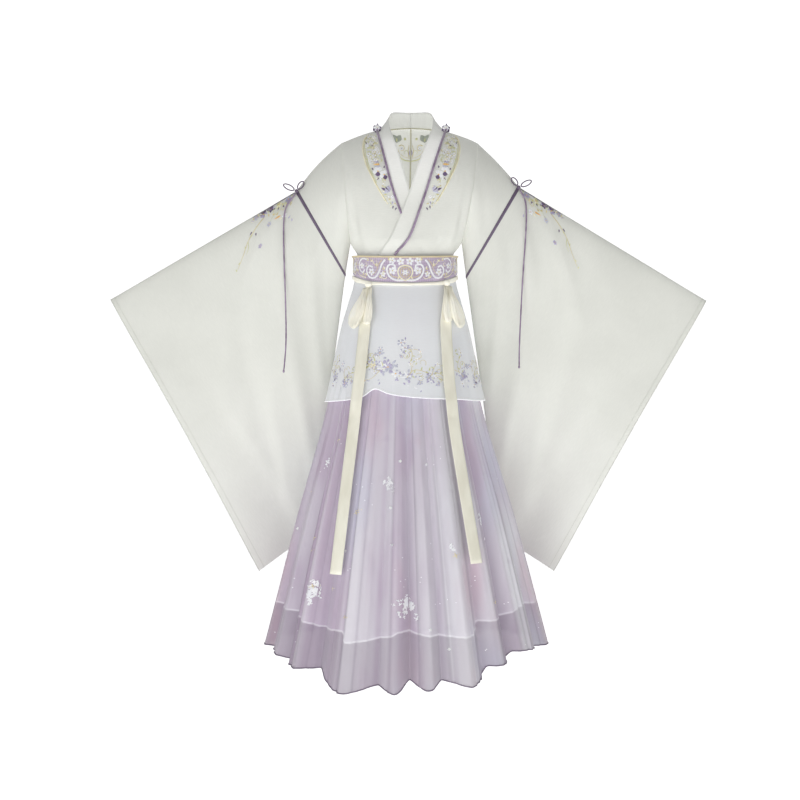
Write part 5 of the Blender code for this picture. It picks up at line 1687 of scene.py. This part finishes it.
CROWN_FLOWERS = ((0.0096, 0.044, 0.0088, 10), (0.0272, 0.0455, 0.0082, 40))
SCROLL_FLOWERS = (
    # a, b, radius, turn
    (0.0265, 0.024, 0.0092, 30), (0.0765, 0.02, 0.009, 50), (0.048, 0.016, 0.007, 20),
    (0.106, 0.031, 0.0082, 15),
)
SCROLL_CURLS = (
    # a, b, radius, start, sweep
    (0.0455, 0.012, 0.007, 200, 290), (0.066, 0.042, 0.0066, 20, -290), (0.093, 0.036, 0.0052, 300, -280),
    (0.123, 0.046, 0.0046, 40, 270),
)
SCROLL_LEAVES = (
    # a, b, turn
    (0.044, 0.026, 70), (0.049, 0.022, 250), (0.063, 0.032, 100), (0.089, 0.012, 20), (0.036, 0.046, 160),
    (0.078, 0.042, 140), (0.098, 0.01, 60), (0.118, 0.03, 100), (0.057, 0.01, 200), (0.012, 0.012, -60),
    (0.12, 0.018, 30), (0.084, 0.046, 30),
)


def belt_panel(whole):
    """Half of one repeat: a flower in a shield with blossoms over it, then scrolls with a flower each."""
    flowers = SCROLL_FLOWERS
    if whole:
        for width, thread, route in MEDALLION_STEMS:
            scrolls.vine(route, width, thread, taper=False)
        for turn in (-60, 0, 60):
            scrolls.leaf(0.0008, 0.0205, turn, 0.0072, 0.0046, white_silk)
        flowers += CROWN_FLOWERS
    for width, thread, narrows, route in SCROLL_STEMS:
        scrolls.vine(route, width, thread, taper=narrows)
    for a, b, radius, turn in flowers:
        scrolls.blossom(a, b, radius, white_silk, gold_silk, turn, 0.9)
    for a, b, radius, start, sweep in SCROLL_CURLS:
        scrolls.curl(a, b, radius, start, sweep, 0.0019, cream_silk)
    for a, b, turn in SCROLL_LEAVES:
        scrolls.leaf(a, b, turn, 0.0088, 0.0036, cream_silk)
        scrolls.leaf(a, b, turn - 55, 0.007, 0.0028, gold_silk)


for offset, whole in ((0.0, True), (0.352, True), (0.176, False), (0.528, False)):
    reach = 1.0 if whole else 0.36
    for flip in (1, -1):
        scrolls.place = lambda a, b, lift: belt_point(offset + flip * a * reach, b / SCALE, lift)
        scrolls.flipped = flip < 0
        belt_panel(whole)
scrolls.finish("cream_ribbon")

# Waist tie

# A long cream satin ribbon is wound round the belt's lower edge, twisted on itself, and tied in two bows at the
# front. The bows' loops puff out and their ends hang to the shins, cut square.
TIE_IN = 0.0031
TIE_GAP = 0.0012
TIE_HEIGHT = Profile(
    "angle height",
    (-180, 0.012), (-90, 0.013), (-55, 0.011), (-25, 0.0075), (0, 0.007), (25, 0.0075), (55, 0.011),
    (90, 0.013), (180, 0.012),
)
points, laid = [], []
TIE_STEPS, TIE_AROUND = 300, 14
for i in range(TIE_STEPS):
    angle = 360 * i / TIE_STEPS
    top = BELT.read(front_angle(angle))["bottom"] - TIE_GAP
    tall = TIE_HEIGHT.read(front_angle(angle))["height"]
    for k in range(TIE_AROUND):
        turn = 2 * pi * k / TIE_AROUND
        twist = radians(angle) * 17
        swell = 1 + 0.13 * cos(2 * turn + twist) + 0.06 * cos(5 * turn - 2 * twist)
        out = TIE_IN + 0.0006 + 0.0017 + 0.0019 * swell * cos(turn)
        z = top - tall / 2 + tall / 2 * (0.9 + 0.07 * cos(twist)) * sin(turn)
        points.append(ring_point(angle, z, out))
        laid.append((turn * 0.005, angle * 0.002))
faces = [face[::-1] for face in grid_faces(TIE_STEPS, TIE_AROUND, closed_down=True)]
add_piece("waist_tie_twisted", points, faces, [cream_satin], ("waist_tie",), laid=laid)

RIBBON_WIDTH = 0.026
RIBBON_WALL = 0.0014
RIBBON_CLEAR = 0.003
BOW_CLEAR = 0.0068
KNOT_CLEAR = 0.0107
OVERSKIRT_LOWEST = -0.645
RIBBONS = {
    "right": ((-0.095, -0.3692), (-0.099, -0.42), (-0.1032, -0.469), (-0.109, -0.525), (-0.1147, -0.58),
              (-0.121, -0.632), (-0.127, -0.69), (-0.14, -0.8), (-0.152, -0.905), (-0.1634, -1.005)),
    "left": ((0.0858, -0.3645), (0.0835, -0.415), (0.0825, -0.46), (0.0855, -0.52), (0.0891, -0.58),
             (0.0945, -0.632), (0.101, -0.69), (0.116, -0.79), (0.131, -0.885), (0.1465, -0.982)),
}
KNOTS = {"right": (-0.0945, -0.364), "left": (0.0855, -0.36)}
KNOT_SIZE = (0.0165, 0.012, 0.014)


def hang_point(x, z, clear):
    """A point just in front of whatever cloth lies outermost at this place of the front."""
    size = HIPS.read(z)
    out = BAND_GAP + RIDGE_MOST * fold_growth(z) + clear
    if z > OVERSKIRT_LOWEST:
        out += OVERSKIRT_OUT + OVERSKIRT_WAVE * clamp((WAVES_FROM - z) / WAVES_RUN) ** 1.5
    across = clamp(abs(x - size["middle"]) / (size["half_width"] + out))
    return Vector((x, -(size["half_depth"] + out) * sqrt(1 - across * across), z))


def ribbon_rows(path):
    line = smooth_line([(x, z, 0) for x, z in path], 0.01)
    line = [p for p in line if p.y > OVERSKIRT_LOWEST + 0.008 or p.y < OVERSKIRT_LOWEST - 0.012]
    rows = []
    for p in line:
        fallen = path[0][1] - p.y
        width = RIBBON_WIDTH * mix(0.45, 1.0, smooth(fallen / 0.1))
        fold = 1 - smooth(fallen / 0.16)
        row = []
        for k in range(9):
            way = k / 8 - 0.5
            ripple = 0.0011 * fold * sin(way * 14) + 0.0008 * sin(fallen * 26 + way * 2)
            row.append(hang_point(p.x + way * width, p.y, RIBBON_CLEAR + RIBBON_WALL + 0.0006 + ripple))
        rows.append(row)
    return rows


for word, path in RIBBONS.items():
    made = cloth("ribbon_" + word + "_satin", ribbon_rows(path), cream_satin, from_front,
                 wall=0.0008, replaced=("ribbon_" + word,))
    0.66 if word == "right" else 0.64
    wound_knot("tie_knot_" + word + "_satin", hang_point(*KNOTS[word], KNOT_CLEAR), KNOT_SIZE, cream_satin,
               ("tie_knot_" + word,), turns=2, segments=28, rings=20)

BOW_TOP = -0.0072
BOW_LOOPS = (
    # name, side word, start x, end x, end z, greatest width, puff, rise of the end's corners
    ("bow_loop_right_outer", "right", -0.0065, -0.033, -0.101, 0.034, 0.019, 0.012),
    ("bow_loop_right_inner", "right", 0.0045, -0.003, -0.092, 0.022, 0.013, 0.003),
    ("bow_loop_left_outer", "left", 0.0065, 0.03, -0.104, 0.032, 0.019, 0.012),
    ("bow_loop_left_inner", "left", -0.004, 0.003, -0.09, 0.021, 0.013, 0.003),
)


def bow_rows(word, start_x, end_x, end_z, width, puff, round_end):
    """A ribbon that runs down from the knot, turns under and comes back up behind itself."""
    knot_x, knot_z = KNOTS[word]
    run = [(0.9 * k / 18, 1.0) for k in range(19)]
    for k in range(1, 12):
        turn = pi * k / 12
        run.append((mix(0.9, 1.0, sin(turn)), cos(turn)))
    run += [(0.9 * k / 18, -1.0) for k in range(18, -1, -1)]
    rows = []
    for down, layer in run:
        fill = mix(0.3, 1.0, smooth(down / 0.5))
        wide = mix(0.3, 1.0, smooth(down / 0.75)) * mix(1.0, 0.8, smooth((down - 0.8) / 0.2)) * width
        x = knot_x + mix(start_x, end_x, down)
        z = knot_z + mix(BOW_TOP, end_z, down)
        row = []
        for k in range(17):
            way = k / 16 - 0.5
            crown = 1 - (2 * way) ** 2
            crease = cos(way * 26 + 2 * down) + 0.6 * sin(way * 41 + 5 * down)
            depth = BOW_CLEAR + puff * fill * (0.1 + 0.45 * (1 + layer) * (0.35 + 0.65 * crown))
            depth += 0.0019 * crease * (1 - 0.6 * smooth(down / 0.95)) * max(layer, 0.0)
            row.append(hang_point(x + way * wide, z + round_end * (1 - crown) * smooth(down), depth))
        rows.append(row)
    return rows


for name, word, *shape in BOW_LOOPS:
    made = cloth(name + "_satin", bow_rows(word, *shape), cream_satin, from_axis, wall=0.0008,
                 replaced=(name,))

# Embroidery of the top

# Satin stitch on the gauze: a yoke of flowers and gold scrolls down both sides of the collar and round the back
# of the neck, and trailing sprays on the top of each wide sleeve.


def drop_on(cloths, way):
    """Lays shapes on cloth by a straight drop in the front view, or the back view, and lifts them off it."""
    trees = []
    for made in cloths:
        mesh = made.data
        points = [v.co.copy() for v in mesh.vertices]
        trees.append(BVHTree.FromPolygons(points, [tuple(p.vertices) for p in mesh.polygons]))

    def place(a, b, lift):
        best = None
        for tree in trees:
            hit, normal, _, _ = tree.ray_cast(Vector((a, -way, b)), Vector((0, way, 0)))
            if hit is not None and (best is None or (hit.y - best[0].y) * way < 0):
                best = (hit, normal if normal.y * way < 0 else -normal)
        return None if best is None else best[0] + best[1] * (lift + 0.0002)

    return place


yoke = Needlework("yoke_embroidery")
front_place = drop_on([body_cloths["front_over"], body_cloths["front_under"]], 1)
YOKE_EDGE = Profile(
    "height reach",
    (-0.196, 0.044), (-0.17, 0.062), (-0.14, 0.08), (-0.11, 0.095), (-0.08, 0.107), (-0.05, 0.112),
    (-0.03, 0.11), (-0.01, 0.098),
)


def yoke_spot(share, height):
    """A place of the yoke: share 0 beside the collar's piping, 1 on the outline."""
    near = NECKLINE.read(height)["seam"] + 0.006
    return mix(near, YOKE_EDGE.read(height)["reach"], share), height


# The yoke is drawn for the wearer's left and mirrored for the right
for side in (1, -1):
    yoke.place = lambda a, b, lift: front_place(NECK_MIDDLE + side * a, b, lift)
    yoke.flipped = side < 0
    picks = random.Random(5)
    for share, width, thread, last in (
        (1.0, 0.0026, cream_silk, 15), (0.87, 0.0016, leaf_silk, 11), (0.94, 0.001, gold_silk, 15),
    ):
        yoke.vine([yoke_spot(share, -0.014 - 0.012 * k) for k in range(last)], width, thread, taper=False)
    # Curling leaves and small white flowers fill the wide part
    for k in range(80):
        share, height = picks.uniform(0.06, 0.8), -0.018 - 0.068 * (k / 80)
        a, b = yoke_spot(share, height)
        turn = picks.uniform(0, 360)
        if k % 4 == 0:
            sweep, thread = (280, gold_silk) if k % 8 else (-280, leaf_silk)
            yoke.curl(a, b, picks.uniform(0.0045, 0.007), turn, sweep, 0.0014, thread)
        elif k % 4 == 1:
            yoke.blossom(a, b, picks.uniform(0.004, 0.0056), white_silk, gold_silk, turn)
        else:
            yoke.leaf(a, b, turn, 0.0078, 0.003, (leaf_silk, cream_silk)[k % 2])
    for share, height, turn in ((0.3, -0.036, 20), (0.34, -0.044, -10), (0.76, -0.04, 60)):
        yoke.leaf(*yoke_spot(share, height), turn, 0.007, 0.0028, plum_silk)
    # Two pansies under an amber petal
    for share, height, size, turn in ((0.5, -0.107, 0.0105, 90), (0.2, -0.115, 0.01, 70)):
        a, b = yoke_spot(share, height)
        for k in range(4):
            thread = (white_silk, grey_silk)[k // 3]
            yoke.leaf(a, b, turn + 40 - 72 * k, size * 1.15, size * 0.95, thread, 0.0008, 1.3)
        yoke.leaf(a, b, turn + 180, size * 1.2, size * 1.1, plum_silk, 0.001, 1.3)
        yoke.dot(a, b, 0.002, amber_silk, 0.0016)
    for k, thread in enumerate((lilac_silk, amber_silk, grey_silk)):
        a, b = yoke_spot(0.24, -0.086 - 0.0045 * k)
        yoke.leaf(a, b, 4 - 6 * k, 0.016, 0.0056, thread, 0.001 + 0.0003 * (k == 1))
    for share, height, turn in ((0.74, -0.104, 60), (0.6, -0.122, -60), (0.1, -0.1, 100)):
        yoke.leaf(*yoke_spot(share, height), turn, 0.0062, 0.0036, plum_silk)
    # Pale leaves lead down to a fan of petals, then to the point
    for k in range(26):
        share, height = picks.uniform(0.2, 0.9), -0.122 - 0.066 * (k / 26)
        thread = (leaf_silk, cream_silk, white_silk, gold_silk)[k % 4]
        yoke.leaf(*yoke_spot(share, height), picks.uniform(0, 360), 0.0066, 0.0026, thread)
    for k in range(6):
        a, b = yoke_spot(0.2, -0.154)
        thread = (grey_silk, lilac_silk, grey_silk, plum_silk)[k % 4]
        yoke.leaf(a, b, -8 + 17 * k, 0.015, 0.0052, thread, 0.001, 1.2)
    yoke.leaf(*yoke_spot(0.5, -0.15), 24, 0.011, 0.0052, plum_silk, 0.0013)
    yoke.blossom(*yoke_spot(0.15, -0.166), 0.0044, white_silk, plum_silk, 20)
    for share, height, turn in ((0.3, -0.176, -70), (0.5, -0.186, -80), (0.2, -0.19, -60)):
        yoke.leaf(*yoke_spot(share, height), turn, 0.008, 0.003, (plum_silk, lilac_silk)[height > -0.18])
yoke.finish("gauze")

# Round the back of the neck, where it shows inside the neckline and from behind
for word, way in (("inside", 1), ("outside", -1)):
    nape = Needlework("nape_embroidery_" + word)
    back_place = drop_on([body_cloths["back_left"], body_cloths["back_right"]], way)
    for side in (1, -1):
        nape.place = lambda a, b, lift: back_place(NECK_MIDDLE + side * a, b, lift)
        nape.flipped = (side < 0) == (way > 0)
        nape.vine([(0.04, -0.016), (0.038, -0.03), (0.03, -0.044), (0.018, -0.054), (0.001, -0.058)], 0.0026,
                  leaf_silk, taper=False)
        nape.vine([(0.034, -0.026), (0.026, -0.04), (0.014, -0.048), (0.002, -0.051)], 0.0014, gold_silk)
        for turn in (62, 118):
            nape.leaf(0.034, -0.015, turn, 0.02, 0.014, sage_silk, blunt=1.3)
        nape.leaf(0.034, -0.013, 90, 0.01, 0.007, leaf_silk, 0.0013)
        nape.dot(0.014, -0.006, 0.0032, leaf_silk)
        nape.curl(0.022, -0.028, 0.009, 40, 280, 0.0018, gold_silk)
        nape.curl(0.012, -0.038, 0.007, 200, -270, 0.0016, leaf_silk)
        nape.vine([(0.004, -0.048), (0.0065, -0.034), (0.004, -0.02)], 0.002, gold_silk)
        nape.blossom(0.022, -0.028, 0.0046, white_silk, plum_silk, 20)
        nape.blossom(0.028, -0.04, 0.0042, white_silk, gold_silk, 0)
        nape.leaf(0.002, -0.044, 95, 0.016, 0.006, lilac_silk)
    nape.finish("gauze")

for side, word in SIDE_NAMES.items():
    work = Needlework("sleeve_embroidery_" + word)
    top = SLEEVES[side]["binding_top"]
    run = (SLEEVES[side]["cuff_top"] - top).normalized()
    for view in (1, -1):
        laid_on = drop_on([sleeve_cloths[side]], view)
        # a runs along the sleeve's top fold from the binding, and b straight down the sleeve
        work.place = lambda a, b, lift: laid_on(top.x + run.x * a, top.z + run.z * a - b, lift)
        work.flipped = side * view > 0
        work.vine([(0.004, 0.0045), (0.04, 0.004), (0.08, 0.0042), (0.118, 0.0046)], 0.0026, plum_silk)
        for a, b, size, turn, flower, second in (
            (0.02, 0.011, 0.01, 80, lilac_silk, grey_silk), (0.046, 0.011, 0.0082, 40, cream_silk, leaf_silk),
            (0.068, 0.0105, 0.008, 10, plum_silk, None), (0.088, 0.012, 0.01, 95, lilac_silk, plum_silk),
            (0.108, 0.01, 0.0072, 20, grey_silk, None), (0.03, 0.046, 0.007, 60, white_silk, None),
            (0.072, 0.044, 0.0066, 0, grey_silk, None), (0.096, 0.083, 0.0056, 30, lilac_silk, None),
        ):
            work.blossom(a, b, size, flower, amber_silk, turn, second=second)
        work.leaf(0.04, 0.04, 0, 0.019, 0.0044, amber_silk)
        stem = [(0.086, 0.02), (0.108, 0.034), (0.13, 0.056), (0.142, 0.08), (0.158, 0.106)]
        work.vine(stem, 0.0024, gold_silk)
        work.vine([(0.13, 0.056), (0.128, 0.07), (0.134, 0.084)], 0.0018, leaf_silk)
        for a, b, turn in ((0.118, 0.046, 20), (0.136, 0.07, -70), (0.15, 0.094, 10), (0.16, 0.11, -60)):
            work.leaf(a, b, turn, 0.008, 0.0032, leaf_silk)
        work.vine([(0.03, 0.014), (0.044, 0.026), (0.06, 0.03), (0.07, 0.04)], 0.0014, leaf_silk)
        work.curl(0.056, 0.023, 0.008, 200, 280, 0.0014, leaf_silk)
        work.curl(0.034, 0.024, 0.007, 160, -280, 0.0014, gold_silk)
        for k in range(44):
            a = 0.008 + 0.116 * ((k * 0.618) % 1.0)
            b = 0.007 + (0.018 if k < 32 else 0.08) * ((k * 0.377) % 1.0) * (1 - a / 0.22)
            thread = (leaf_silk, cream_silk, plum_silk, gold_silk, lilac_silk)[k % 5]
            work.leaf(a, b, k * 61, 0.0085, 0.0036, thread)
    work.finish("gauze")
